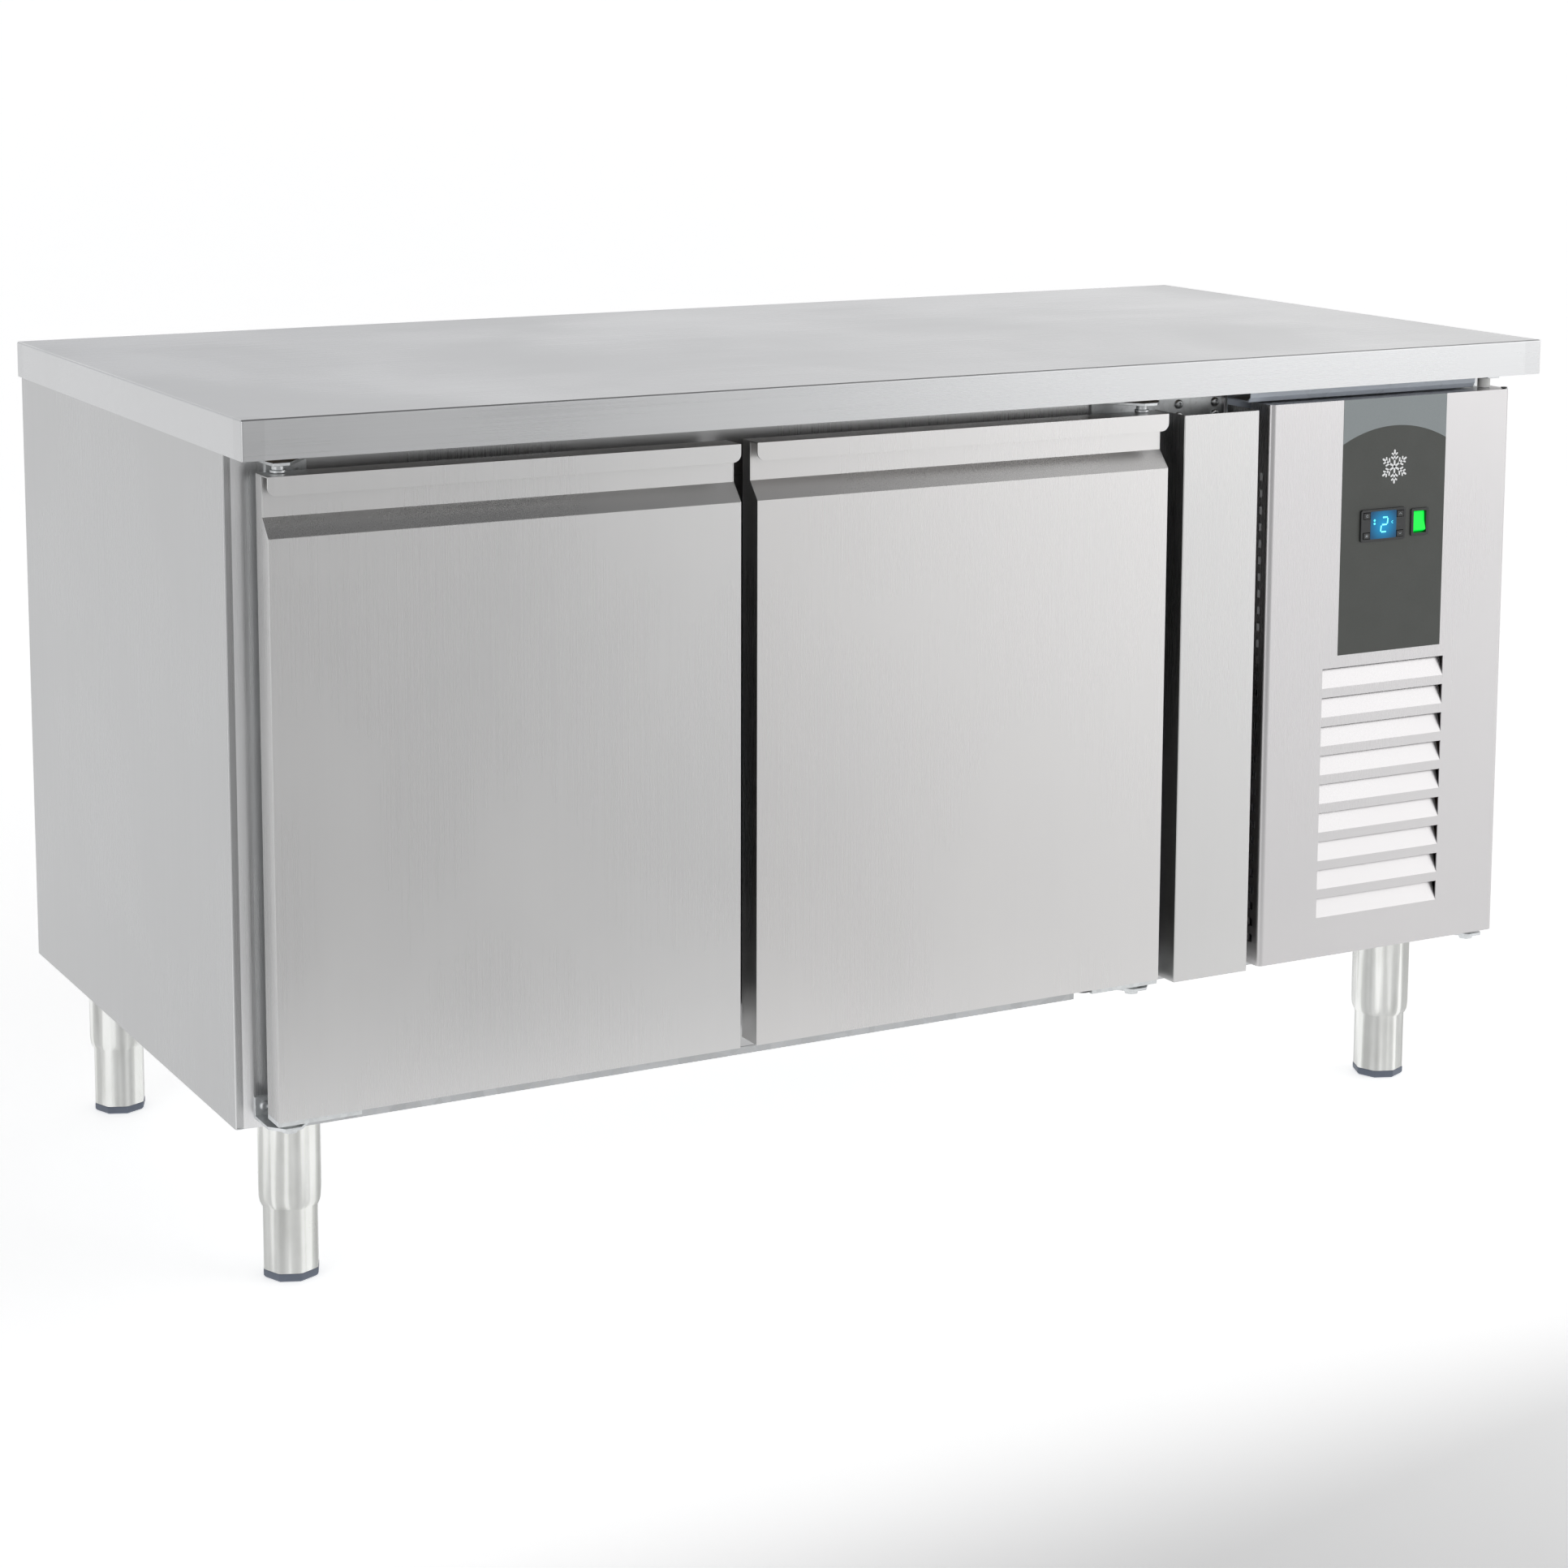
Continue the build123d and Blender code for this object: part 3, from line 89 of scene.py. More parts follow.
# ---- node trees ----
class Nodes:
    """A node tree in the making: each method adds one node and returns its output."""

    def __init__(self, tree):
        self.tree = tree

    def add(self, kind, **settings):
        node = self.tree.nodes.new(kind)
        for key, value in settings.items():
            setattr(node, key, value)
        return node

    def link(self, out, socket):
        self.tree.links.new(out, socket)

    def feed(self, socket, value):
        """Sets a socket to a number or a colour, or links an output to it."""
        if isinstance(value, (int, float)):
            socket.default_value = value
        elif isinstance(value, tuple):
            socket.default_value = (*value, 1)
        else:
            self.link(value, socket)

    def split(self, vector):
        """The X, Y and Z of a vector."""
        node = self.add("ShaderNodeSeparateXYZ")
        self.link(vector, node.inputs[0])
        return node.outputs["X"], node.outputs["Y"], node.outputs["Z"]

    def math(self, operation, *values):
        node = self.add("ShaderNodeMath", operation=operation)
        for socket, value in zip(node.inputs, values):
            self.feed(socket, value)
        return node.outputs[0]

    def remap(self, value, low, high, first=0.3, last=0.7):
        """Eases from low to high as the value goes from first to last."""
        node = self.add("ShaderNodeMapRange", interpolation_type="SMOOTHSTEP")
        for socket, setting in zip(node.inputs, (value, first, last, low, high)):
            self.feed(socket, setting)
        return node.outputs[0]

    def ramp(self, value, *stops, blend="LINEAR"):
        """A colour ramp; each stop is (position, colour)."""
        node = self.add("ShaderNodeValToRGB")
        node.color_ramp.interpolation = blend
        elements = node.color_ramp.elements
        elements[0].position, elements[1].position = stops[0][0], stops[-1][0]
        for position, _ in stops[1:-1]:
            elements.new(position)
        for element, (_, colour) in zip(elements, stops):
            element.color = (*colour, 1)
        self.link(value, node.inputs[0])
        return node.outputs["Color"]

    def mix(self, factor, first, second, blend="MIX"):
        node = self.add("ShaderNodeMix", data_type="RGBA", blend_type=blend)
        for socket, value in zip((node.inputs[0], *node.inputs[6:8]), (factor, first, second)):
            self.feed(socket, value)
        return node.outputs[2]

    def times(self, first, second):
        return self.mix(1.0, first, second, "MULTIPLY")


# ---- camera and light ----
CAMERA_AT = Vector((-1.660, -3.093, 1.193))
CAMERA_HEADING = math.radians(28.2)
CAMERA_TILT = math.radians(8.41)
CAMERA_ROLL = math.radians(0.18)
CAMERA_LENS = 78.3
CAMERA_SHIFT = -0.20


def make_camera():
    data = bpy.data.cameras.new("camera")
    data.sensor_width = 36.0
    data.lens = CAMERA_LENS
    data.shift_y = CAMERA_SHIFT
    camera = bpy.data.objects.new("camera", data)
    scene_objects().link(camera)
    turn = Matrix.Rotation(-CAMERA_HEADING, 4, "Z")
    turn @= Matrix.Rotation(math.radians(90) - CAMERA_TILT, 4, "X")
    turn @= Matrix.Rotation(CAMERA_ROLL, 4, "Z")
    camera.matrix_world = Matrix.Translation(CAMERA_AT) @ turn
    bpy.context.scene.camera = camera


# Lamps: name, place, what it faces, width and height, watts.
LAMPS = (
    ("key", (3.4, -2.8, 1.7), (0.3, 0, 0.4), (4.0, 3.0), 30),
    ("side_strip", (-2.9, -1.5, 0.95), (0, 0, 0.45), (1.0, 1.8), 8),
    ("top_strip", (2.3, -1.3, 3.0), (0.2, -0.3, 0.7), (1.6, 1.6), 5),
)


def make_light(name, at, target, size, power):
    data = bpy.data.lights.new(name, "AREA")
    data.shape = "RECTANGLE"
    data.size, data.size_y = size
    data.energy = power
    light = bpy.data.objects.new(name, data)
    scene_objects().link(light)
    light.location = at
    light.rotation_euler = (Vector(target) - Vector(at)).to_track_quat("-Z", "Y").to_euler()
    light.visible_camera = False


# The studio's light by direction: left to right over STUDIO_SPAN, then by height, dimmer in front.
STUDIO_SPAN = (-0.8, 0.9)
STUDIO_SIDES = (
    (0.0, (0.90, 0.905, 0.92)), (0.44, (0.82, 0.825, 0.84)), (0.50, (1.35, 1.35, 1.35)),
    (0.54, (1.35, 1.35, 1.35)), (0.61, (0.76, 0.765, 0.78)), (1.0, (1.30, 1.29, 1.28)),
)
STUDIO_HEIGHT = ((0.30, (1.0, 1.0, 1.0)), (0.75, (0.20, 0.20, 0.20)))
FRONT_SPAN, FRONT_DIM = (-0.98, -0.72), 0.70


def make_world():
    """Soft light: bright and level all round, brighter towards the right, dim overhead."""
    world = bpy.data.worlds.new("studio")
    bpy.context.scene.world = world
    world.use_nodes = True
    sky = Nodes(world.node_tree)
    x, y, z = sky.split(sky.add("ShaderNodeTexCoord").outputs["Generated"])
    low, high = STUDIO_SPAN
    across = sky.math("DIVIDE", sky.math("SUBTRACT", x, low), high - low)
    sides = sky.ramp(across, *STUDIO_SIDES)
    height = sky.ramp(z, *STUDIO_HEIGHT, blend="EASE")
    front = sky.remap(y, FRONT_DIM, 1.0, *FRONT_SPAN)
    background = sky.tree.nodes["Background"]
    sky.link(sky.times(sky.times(sides, height), front), background.inputs["Color"])


# ---- materials ----
class Finish(Nodes):
    """A procedural material in the making."""

    def __init__(self, name, **values):
        self.material = bpy.data.materials.new(name)
        self.material.use_nodes = True
        super().__init__(self.material.node_tree)
        self.shader = self.tree.nodes["Principled BSDF"]
        for socket, value in values.items():
            self.shader.inputs[socket.replace("_", " ")].default_value = value
        self.place = self.add("ShaderNodeTexCoord").outputs["Object"]

    def noise(self, scale, detail=2.0, rough=0.5, warp=0.0):
        """Noise in 0 to 1; scale is one number or one along each axis, in cells per metre."""
        node = self.add("ShaderNodeTexNoise")
        node.inputs["Detail"].default_value = detail
        node.inputs["Roughness"].default_value = rough
        node.inputs["Distortion"].default_value = warp
        place = self.place
        if isinstance(scale, tuple):
            stretch = self.add("ShaderNodeMapping")
            stretch.inputs["Scale"].default_value = scale
            self.link(place, stretch.inputs["Vector"])
            place, scale = stretch.outputs[0], 1.0
        node.inputs["Scale"].default_value = scale
        self.link(place, node.inputs["Vector"])
        return node.outputs["Fac"]

    def cells(self, scale, output="Distance"):
        node = self.add("ShaderNodeTexVoronoi")
        node.inputs["Scale"].default_value = scale
        self.link(self.place, node.inputs["Vector"])
        return node.outputs[output]

    def surface(self, tone, rough):
        self.link(tone, self.shader.inputs["Base Color"])
        self.link(rough, self.shader.inputs["Roughness"])

    def done(self, tone, rough, height, depth, strength=1.0):
        """Links the colour, the roughness and a bump with its depth in metres."""
        self.surface(tone, rough)
        node = self.add("ShaderNodeBump")
        node.inputs["Strength"].default_value = strength
        node.inputs["Distance"].default_value = depth
        self.link(height, node.inputs["Height"])
        self.link(node.outputs[0], self.shader.inputs["Normal"])
        return self.material


def shade(colour, factor):
    return tuple(min(1.0, c * factor) for c in colour)


GRAIN_CELLS = (3.0, 1100.0)         # grain lines and wider streaks, in cells per metre: along, across
STREAK_CELLS = (0.7, 60.0)
WELD_REACH, WELD_EDGE = 22 * MM, 2 * MM
WELD_TONE = 0.95


def drawn_out(axis, cells):
    """A noise scale that is long along one axis."""
    along, across = cells
    return tuple(along if letter == axis else across for letter in "XYZ")


def weld_mark(f, tone):
    """Darkens the dressed zone beside each welded corner of the worktop."""
    inwards = [
        f.math("SUBTRACT", half, f.math("ABSOLUTE", place))
        for place, half in zip(f.split(f.place)[:2], CAD_HIGH)
    ]
    far = f.math("MAXIMUM", *inwards)
    zone = f.remap(far, WELD_TONE, 1.0, WELD_REACH - WELD_EDGE, WELD_REACH)
    return f.times(tone, zone)


def brushed(name, colour, grain, rough, line=0.008, cloud=0.02, weld=False):
    """Brushed stainless sheet with grain lines along one axis and faint smudges."""
    f = Finish(name, Metallic=1.0)
    lines = f.noise(drawn_out(grain, GRAIN_CELLS), 3.0, 0.6)
    streaks = f.noise(drawn_out(grain, STREAK_CELLS), 2.0)
    clouds = f.noise(2.6, 3.0, 0.55, 0.4)
    tone = f.ramp(lines, (0.25, shade(colour, 1 - line)), (0.75, shade(colour, 1 + line)))
    tone = f.times(tone, f.ramp(streaks, (0.3, (1 - line / 2,) * 3), (0.7, (1.0,) * 3)))
    light, dark = (1.0,) * 3, (1 - 2 * cloud, 1 - 2 * cloud, 1 - 1.7 * cloud)
    tone = f.times(tone, f.ramp(clouds, (0.3, dark), (0.7, light)))
    if weld:
        tone = weld_mark(f, tone)
    fine = f.remap(lines, rough - 0.02, rough + 0.03)
    smudged = f.math("ADD", fine, f.remap(clouds, -0.03, 0.04))
    return f.done(tone, smudged, lines, 0.00001, 0.2)


def tube_finish(name, colour, rough):
    """Polished welded tube with soft upright bands of painted reflection, darker ones and a bright
    painted highlight stripe, and a few rubbed patches.
    """
    f = Finish(name, Metallic=1.0)
    painted_sheen_bands = f.noise((80.0, 80.0, 2.0), 1.0, 0.5)
    rubbed = f.noise((30.0, 30.0, 14.0), 4.0, 0.6)
    # Painted reflection: upright bands darkened to 0.74 and a narrow stripe lightened to 1.45 as a
    # painted highlight.
    tone = f.ramp(painted_sheen_bands, (0.36, shade(colour, 0.74)), (0.52, colour), (0.60, shade(colour, 1.45)))
    tone = f.times(tone, f.ramp(rubbed, (0.35, (0.9, 0.9, 0.89)), (0.6, (1, 1, 1))))
    return f.done(tone, f.remap(rubbed, rough + 0.08, rough - 0.04), painted_sheen_bands, 0.0004, 0.35)


def zinc(name, colour, spangle=70.0, rough=0.42):
    """Zinc-coated sheet with a faint crystal pattern."""
    f = Finish(name, Metallic=0.9)
    crystals = f.cells(spangle, output="Color")
    tone = f.ramp(crystals, (0.2, shade(colour, 0.93)), (0.8, shade(colour, 1.05)))
    dirt = f.noise(9.0, 4.0)
    tone = f.times(tone, f.ramp(dirt, (0.3, (0.84, 0.84, 0.83)), (0.65, (1, 1, 1))))
    return f.done(tone, f.remap(dirt, rough - 0.06, rough + 0.1), f.noise(420.0, 2.0), 0.00003, 0.6)


def moulded(name, colour, rough, pores, depth, worn):
    """Moulded plastic or paint with fine texture and slight uneven wear."""
    f = Finish(name)
    wear = f.noise(24.0, 5.0, 0.6)
    tone = f.ramp(wear, (0.3, shade(colour, 1 - worn)), (0.7, shade(colour, 1 + worn)))
    return f.done(tone, f.remap(wear, rough - 0.06, rough + 0.08), f.noise(pores, 3.0), depth, 0.8)


def foam_finish():
    """Cut polyurethane foam: small open cells, yellowish with darker skin."""
    f = Finish("foam")
    cells = f.cells(650.0)
    tone = f.ramp(cells, (0.0, (0.62, 0.50, 0.28)), (0.7, (0.86, 0.76, 0.52)))
    patches = f.noise(11.0, 4.0)
    tone = f.times(tone, f.ramp(patches, (0.3, (0.86, 0.82, 0.76)), (0.7, (1, 1, 1))))
    return f.done(tone, f.remap(patches, 0.82, 0.95), cells, 0.0004)


def board_finish():
    """Pressed wood board with short fibres and chips."""
    f = Finish("board")
    fibres = f.noise((90.0, 420.0, 420.0), 5.0, 0.7)
    chips = f.cells(240.0)
    tone = f.ramp(fibres, (0.3, (0.30, 0.20, 0.11)), (0.7, (0.55, 0.41, 0.26)))
    tone = f.mix(0.25, tone, f.ramp(chips, (0.1, (0.24, 0.16, 0.09)), (0.6, (0.6, 0.46, 0.3))))
    return f.done(tone, f.remap(fibres, 0.7, 0.85), fibres, 0.0002)


def copper_finish():
    """Drawn copper tube with darker heat tint in patches."""
    f = Finish("copper", Metallic=1.0)
    tint = f.noise(16.0, 4.0, 0.6, 0.5)
    bright, brown = (0.86, 0.46, 0.30), (0.45, 0.21, 0.12)
    tone = f.ramp(tint, (0.34, brown), (0.5, shade(bright, 0.88)), (0.72, bright))
    return f.done(tone, f.remap(tint, 0.42, 0.22), f.noise(700.0, 2.0), 0.00002)


def rubber_finish(name, colour):
    """Extruded seal or rubber: matt and dusty."""
    f = Finish(name)
    f.shader.inputs["Sheen Weight"].default_value = 0.15
    dust = f.noise(30.0, 5.0)
    tone = f.ramp(dust, (0.3, colour), (0.75, shade(colour, 1.35)))
    return f.done(tone, f.remap(dust, 0.55, 0.72), f.noise(600.0, 3.0), 0.00006)


ARC_CENTRE = (524.3 * MM, 589.2 * MM)  # of the arc between the label's two fields, in X and Z
ARC_RADIUS = 141.5 * MM


def label_finish():
    """Printed film: a dark field below an arc and a lighter one above it, under a satin coat."""
    f = Finish("label_print", Coat_Weight=0.1, Coat_Roughness=0.3)
    x, _, z = f.split(f.place)
    across = f.math("SUBTRACT", x, ARC_CENTRE[0])
    up = f.math("SUBTRACT", z, ARC_CENTRE[1])
    squares = f.math("ADD", f.math("MULTIPLY", across, across), f.math("MULTIPLY", up, up))
    above = f.math("GREATER_THAN", f.math("SQRT", squares), ARC_RADIUS)
    above = f.math("MULTIPLY", above, f.math("GREATER_THAN", z, ARC_CENTRE[1]))
    grain = f.noise(1500.0, 2.0)
    dark = f.ramp(grain, (0.3, (0.039, 0.043, 0.037)), (0.7, (0.046, 0.050, 0.044)))
    pale = f.ramp(grain, (0.3, (0.232, 0.260, 0.266)), (0.7, (0.252, 0.280, 0.286)))
    return f.done(f.mix(above, dark, pale), f.remap(f.noise(40.0, 4.0), 0.42, 0.5), grain, 0.00002)


def glowing(name, colour, strength, dim, centre, reach):
    """A lit plastic that is brightest at its centre."""
    f = Finish(name, Roughness=0.3, Specular_IOR_Level=0.25)
    f.shader.inputs["Emission Strength"].default_value = strength
    offset = f.add("ShaderNodeVectorMath", operation="DISTANCE")
    offset.inputs[1].default_value = centre
    f.link(f.place, offset.inputs[0])
    grain = f.math("MULTIPLY", f.noise(900.0, 2.0), reach * 0.12)
    distance = f.math("ADD", offset.outputs["Value"], grain)
    lit = f.ramp(f.math("DIVIDE", distance, reach), (0.1, colour), (1.0, dim))
    f.link(lit, f.shader.inputs["Emission Color"])
    f.link(f.mix(0.8, lit, (0.0, 0.0, 0.0)), f.shader.inputs["Base Color"])
    return f.material


# Colour, grain axis, roughness, strength of the lines and of the clouds, and whether it was welded.
BRUSHED = {
    "worktop_steel": ((0.575, 0.58, 0.585), "X", 0.27, 0.02, 0.02, True),
    "door_steel": ((0.645, 0.642, 0.637), "Z", 0.28),
    "right_door_steel": ((0.645, 0.637, 0.63), "Z", 0.28),
    "filler_steel": ((0.595, 0.592, 0.587), "Z", 0.28),
    "cover_steel": ((0.575, 0.565, 0.567), "Z", 0.28),
    "side_steel": ((0.47, 0.473, 0.475), "Z", 0.28),
    # The front fold's steel is the same sheet as side_steel but much lighter: painted light on the
    # fold.
    "return_steel": ((0.76, 0.763, 0.765), "Z", 0.28),
    "liner_steel": ((0.66, 0.665, 0.67), "Z", 0.30),
    "fins": ((0.70, 0.71, 0.72), "Z", 0.34, 0.10, 0.10),
}
# Colour, roughness, pores per metre, their depth in metres, and wear.
MOULDED = {
    "blue_grey_rail": ((0.57, 0.62, 0.69), 0.30, 500.0, 0.00004, 0.05),
    "white_panel": ((0.74, 0.75, 0.75), 0.35, 320.0, 0.00004, 0.04),
    "shelf_coat": ((0.70, 0.71, 0.72), 0.30, 700.0, 0.00004, 0.06),
    "nylon": ((0.84, 0.84, 0.82), 0.4, 600.0, 0.00004, 0.03),
    "black_paint": ((0.018, 0.018, 0.019), 0.28, 260.0, 0.00012, 0.3),
    "black_plastic": ((0.016, 0.017, 0.018), 0.34, 1400.0, 0.00003, 0.25),
    "grey_plastic": ((0.30, 0.31, 0.32), 0.42, 900.0, 0.00004, 0.12),
    "glide": ((0.105, 0.125, 0.165), 0.45, 800.0, 0.00004, 0.1),
}
SWITCH_FACE = (0.558, -0.343, 0.630)
FINISHES = {
    "leg_steel": tube_finish("leg_steel", (0.61, 0.615, 0.60), 0.20),
    "galvanised": zinc("galvanised", (0.52, 0.53, 0.54)),
    "zinc_bracket": zinc("zinc_bracket", (0.70, 0.72, 0.73), 220.0, 0.36),
    "foam": foam_finish(),
    "board": board_finish(),
    "seal": rubber_finish("seal", (0.022, 0.022, 0.023)),
    "copper": copper_finish(),
    "grommet": rubber_finish("grommet", (0.02, 0.02, 0.02)),
    "label_film": label_finish(),
    "lit_green": glowing(
        "lit_green", (0.0, 1.0, 0.07), 1.0, (0.0, 0.75, 0.05), SWITCH_FACE, 20 * MM
    ),
}
FINISHES.update({name: brushed(name, *look) for name, look in BRUSHED.items()})
FINISHES.update({name: moulded(name, *look) for name, look in MOULDED.items()})


def dress(node, finish):
    """Gives a CAD node's own material slots a finish."""
    slots = NODES[node].material_slots
    for slot in slots:
        slot.material = FINISHES[finish]
    if not slots:
        NODES[node].data.materials.append(FINISHES[finish])


# ---- stage ----
make_camera()
make_world()
for lamp in LAMPS:
    make_light(*lamp)
bpy.context.scene.view_settings.view_transform = "Standard"

FLOOR_SIZE = 3000.0                 # far enough for the floor to reach the horizon
FLOOR_GLOW = 0.58                   # behind and beside the cabinet, a plain white sweep
DIM_GLOW = 0.14                     # in front of the doors at the left
DIM_START, DIM_BLEND = -0.78, 0.40  # where the dim part begins in Y, and how far it takes to fade in
GLOW_ACROSS = (0.913, 0.407, 0.0)   # the glow also rises along this direction, over GLOW_SPAN
GLOW_SPAN = (-1.0, 0.9)
FLOOR_PALE = (0.925, 0.94)


def make_floor():
    """A plain pale floor that glows softly, less so in front of the cabinet at the left."""
    mesh = bpy.data.meshes.new("floor")
    half = FLOOR_SIZE / 2
    corners = [(-half, -half, 0), (half, -half, 0), (half, half, 0), (-half, half, 0)]
    mesh.from_pydata(corners, [], [(0, 1, 2, 3)])
    floor = bpy.data.objects.new("floor", mesh)
    scene_objects().link(floor)
    f = Finish("floor", Roughness=0.6, Emission_Color=(1, 1, 1, 1), Specular_IOR_Level=0.2)
    low, high = FLOOR_PALE
    tone = f.ramp(f.noise(3.0, 3.0), (0.3, (low,) * 3), (0.7, (high,) * 3))
    f.link(tone, f.shader.inputs["Base Color"])
    across = f.add("ShaderNodeVectorMath", operation="DOT_PRODUCT")
    across.inputs[1].default_value = GLOW_ACROSS
    f.link(f.place, across.inputs[0])
    rightwards = f.remap(across.outputs["Value"], DIM_GLOW, FLOOR_GLOW, *GLOW_SPAN)
    y = f.split(f.place)[1]
    backwards = f.remap(y, DIM_GLOW, FLOOR_GLOW, DIM_START - DIM_BLEND, DIM_START)
    f.link(f.math("MAXIMUM", rightwards, backwards), f.shader.inputs["Emission Strength"])
    mesh.materials.append(f.material)


make_floor()


# ---- mesh helpers ----
SMOOTH_ANGLE = math.radians(35)


def piece(name, bm, finish, body, replaces=()):
    """Turns a bmesh into a named piece that rides on a body."""
    bmesh.ops.recalc_face_normals(bm, faces=bm.faces)
    mesh = bpy.data.meshes.new(name)
    bm.to_mesh(mesh)
    bm.free()
    mesh.shade_smooth()
    mesh.set_sharp_from_angle(angle=SMOOTH_ANGLE)
    mesh.materials.append(finish if isinstance(finish, bpy.types.Material) else FINISHES[finish])
    made = bpy.data.objects.new(name, mesh)
    scene_objects().link(made)
    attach(made, body)
    if replaces:
        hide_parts(*replaces)
    return made


def apply_modifiers(source):
    """Replaces an object's mesh by its evaluated mesh."""
    graph = bpy.context.evaluated_depsgraph_get()
    mesh = bpy.data.meshes.new_from_object(source.evaluated_get(graph))
    source.modifiers.clear()
    source.data = mesh


def weigh(made, smooth=50):
    """Keeps wide faces flat, so that only the bends are shaded round."""
    made.data.shade_smooth()
    made.data.set_sharp_from_angle(angle=math.radians(smooth))
    weights = made.modifiers.new("weights", "WEIGHTED_NORMAL")
    weights.weight = 100
    weights.keep_sharp = True
    apply_modifiers(made)


SAME_SPOT = 1e-6
FLAT_ANGLE, EDGE_ANGLE = math.radians(0.6), math.radians(28)


def soften(node, width):
    """Stands for a CAD node with its folded or moulded edges rounded off; width is in mm."""
    bm = bmesh.new()
    bm.from_mesh(NODES[node].data)
    bmesh.ops.remove_doubles(bm, verts=bm.verts, dist=SAME_SPOT)
    bmesh.ops.dissolve_limit(bm, angle_limit=FLAT_ANGLE, verts=bm.verts, edges=bm.edges)
    finish = OWN_FINISH.get(node, SLOT_OF[node])
    made = piece(f"{node}_shaped", bm, finish, NODES[node]["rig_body"], replaces=[node])
    edge = made.modifiers.new("edge", "BEVEL")
    edge.width = width * MM
    edge.segments = 2
    edge.limit_method = "ANGLE"
    edge.angle_limit = EDGE_ANGLE
    apply_modifiers(made)
    weigh(made)


def join(bm, low, high):
    """Faces between two rings; either may be a single point."""
    count = max(len(low), len(high))
    for i in range(count):
        j = (i + 1) % count
        if len(low) == 1:
            bm.faces.new((low[0], high[j], high[i]))
        elif len(high) == 1:
            bm.faces.new((low[i], low[j], high[0]))
        else:
            bm.faces.new((low[i], low[j], high[j], high[i]))


def loft(bm, rings, closed=False):
    """Skins a row of rings, and caps both ends unless the row closes on itself."""
    for low, high in zip(rings, rings[1:] + rings[:1] if closed else rings[1:]):
        join(bm, low, high)
    for end in () if closed else (rings[0], rings[-1]):
        if len(end) > 1:
            bm.faces.new(end)


def circle(radius, sides, height=0.0, first=0.0):
    """Points round the Z axis; first is the first point's place in steps."""
    angles = [2 * math.pi * (i + first) / sides for i in range(sides)]
    return [Vector((radius * math.cos(a), radius * math.sin(a), height)) for a in angles]


# Turns a shape drawn round the Z axis onto another axis.
SPIN = {
    "X": Matrix.Rotation(math.radians(90), 3, "Y"),
    "Y": Matrix.Rotation(math.radians(-90), 3, "X"),
    "Z": Matrix.Identity(3),
}


def turned(bm, at, axis, profile, sides=32):
    """Revolves (radius, height) points about an axis through at."""
    rings = []
    for radius, height in profile:
        points = circle(radius, sides, height, 0.5) if radius else [Vector((0, 0, height))]
        rings.append([bm.verts.new(Vector(at) + SPIN[axis] @ point) for point in points])
    loft(bm, rings)


def wire(bm, start, end, radius, sides=10):
    """A straight round wire."""
    start, end = Vector(start), Vector(end)
    turn = (end - start).to_track_quat("Z", "Y")
    loft(bm, [
        [bm.verts.new(centre + turn @ point) for point in circle(radius, sides)]
        for centre in (start, end)
    ])


def hoop(bm, at, axis, ring_radius, radius, start=0.0, end=360.0, steps=48, sides=10):
    """A round wire bent to an arc about an axis; 360 degrees closes it."""
    closed = end - start >= 360
    rings = []
    for i in range(steps if closed else steps + 1):
        a = math.radians(start + (end - start) * i / steps)
        out = Vector((math.cos(a), math.sin(a), 0))
        spots = [out * (ring_radius + p.x) + Vector((0, 0, p.y)) for p in circle(radius, sides)]
        rings.append([bm.verts.new(Vector(at) + SPIN[axis] @ spot) for spot in spots])
    loft(bm, rings, closed)


def block(bm, low, high):
    """A box from its lowest and highest corners."""
    centre = (Vector(low) + Vector(high)) / 2
    size = Vector(high) - Vector(low)
    matrix = Matrix.Translation(centre) @ Matrix.Diagonal((*size, 1))
    bmesh.ops.create_cube(bm, size=1.0, matrix=matrix)


def plate(bm, outline, y, thick):
    """A flat plate facing the front, from an outline of (x, z) points."""
    loft(bm, [[bm.verts.new((x, depth, z)) for x, z in outline] for depth in (y, y + thick)])


def rounded(x, z, radius, steps=5):
    """Outline of a rounded rectangle from its limits in X and Z."""
    points = []
    corners = ((x[1] - radius, z[1] - radius), (x[0] + radius, z[1] - radius),
               (x[0] + radius, z[0] + radius), (x[1] - radius, z[0] + radius))
    for quarter, (cx, cz) in enumerate(corners):
        for i in range(steps + 1):
            a = math.radians(90 * quarter + 90 * i / steps)
            points.append((cx + radius * math.cos(a), cz + radius * math.sin(a)))
    return points


# ---- sheet and moulded parts with rounded edges ----
SLOT_OF = {entry["node"]: entry["material_slot"] for entry in frame["record"]["subparts"]}
OWN_FINISH = {
    "right_door_skin": "right_door_steel", "right_door_handle": "right_door_steel",
    "filler_panel": "filler_steel", "cover_panel": "cover_steel",
}
for node in NODES:
    dress(node, OWN_FINISH.get(node, SLOT_OF[node]))

# How far each node's edges are rounded, in mm.
EDGES = {
    "right_side_panel": 0.9, "filler_panel": 0.5, "back_panel": 0.4,
    "machine_top_rail": 0.5, "hinge_brackets": 0.5, "left_door_skin": 0.55, "right_door_skin": 0.55,
    "left_door_handle": 0.25, "right_door_handle": 0.25, "left_door_hinge_plates": 0.5,
    "right_door_hinge_plates": 0.5, "front_frame": 0.6, "controller": 0.5, "rocker": 0.5,
    "switch_bezel": 0.35, "electrical_box": 1.2, "shelf_runners": 0.4,
    "left_door_liner": 1.5, "right_door_liner": 1.5, "key_set": 0.3, "key_light": 0.3,
    "key_up": 0.3, "key_down": 0.3, "machine_tray": 0.6, "condenser_shroud": 0.5,
    "evaporator_housing": 0.5,
}
for node, width in EDGES.items():
    soften(node, width)


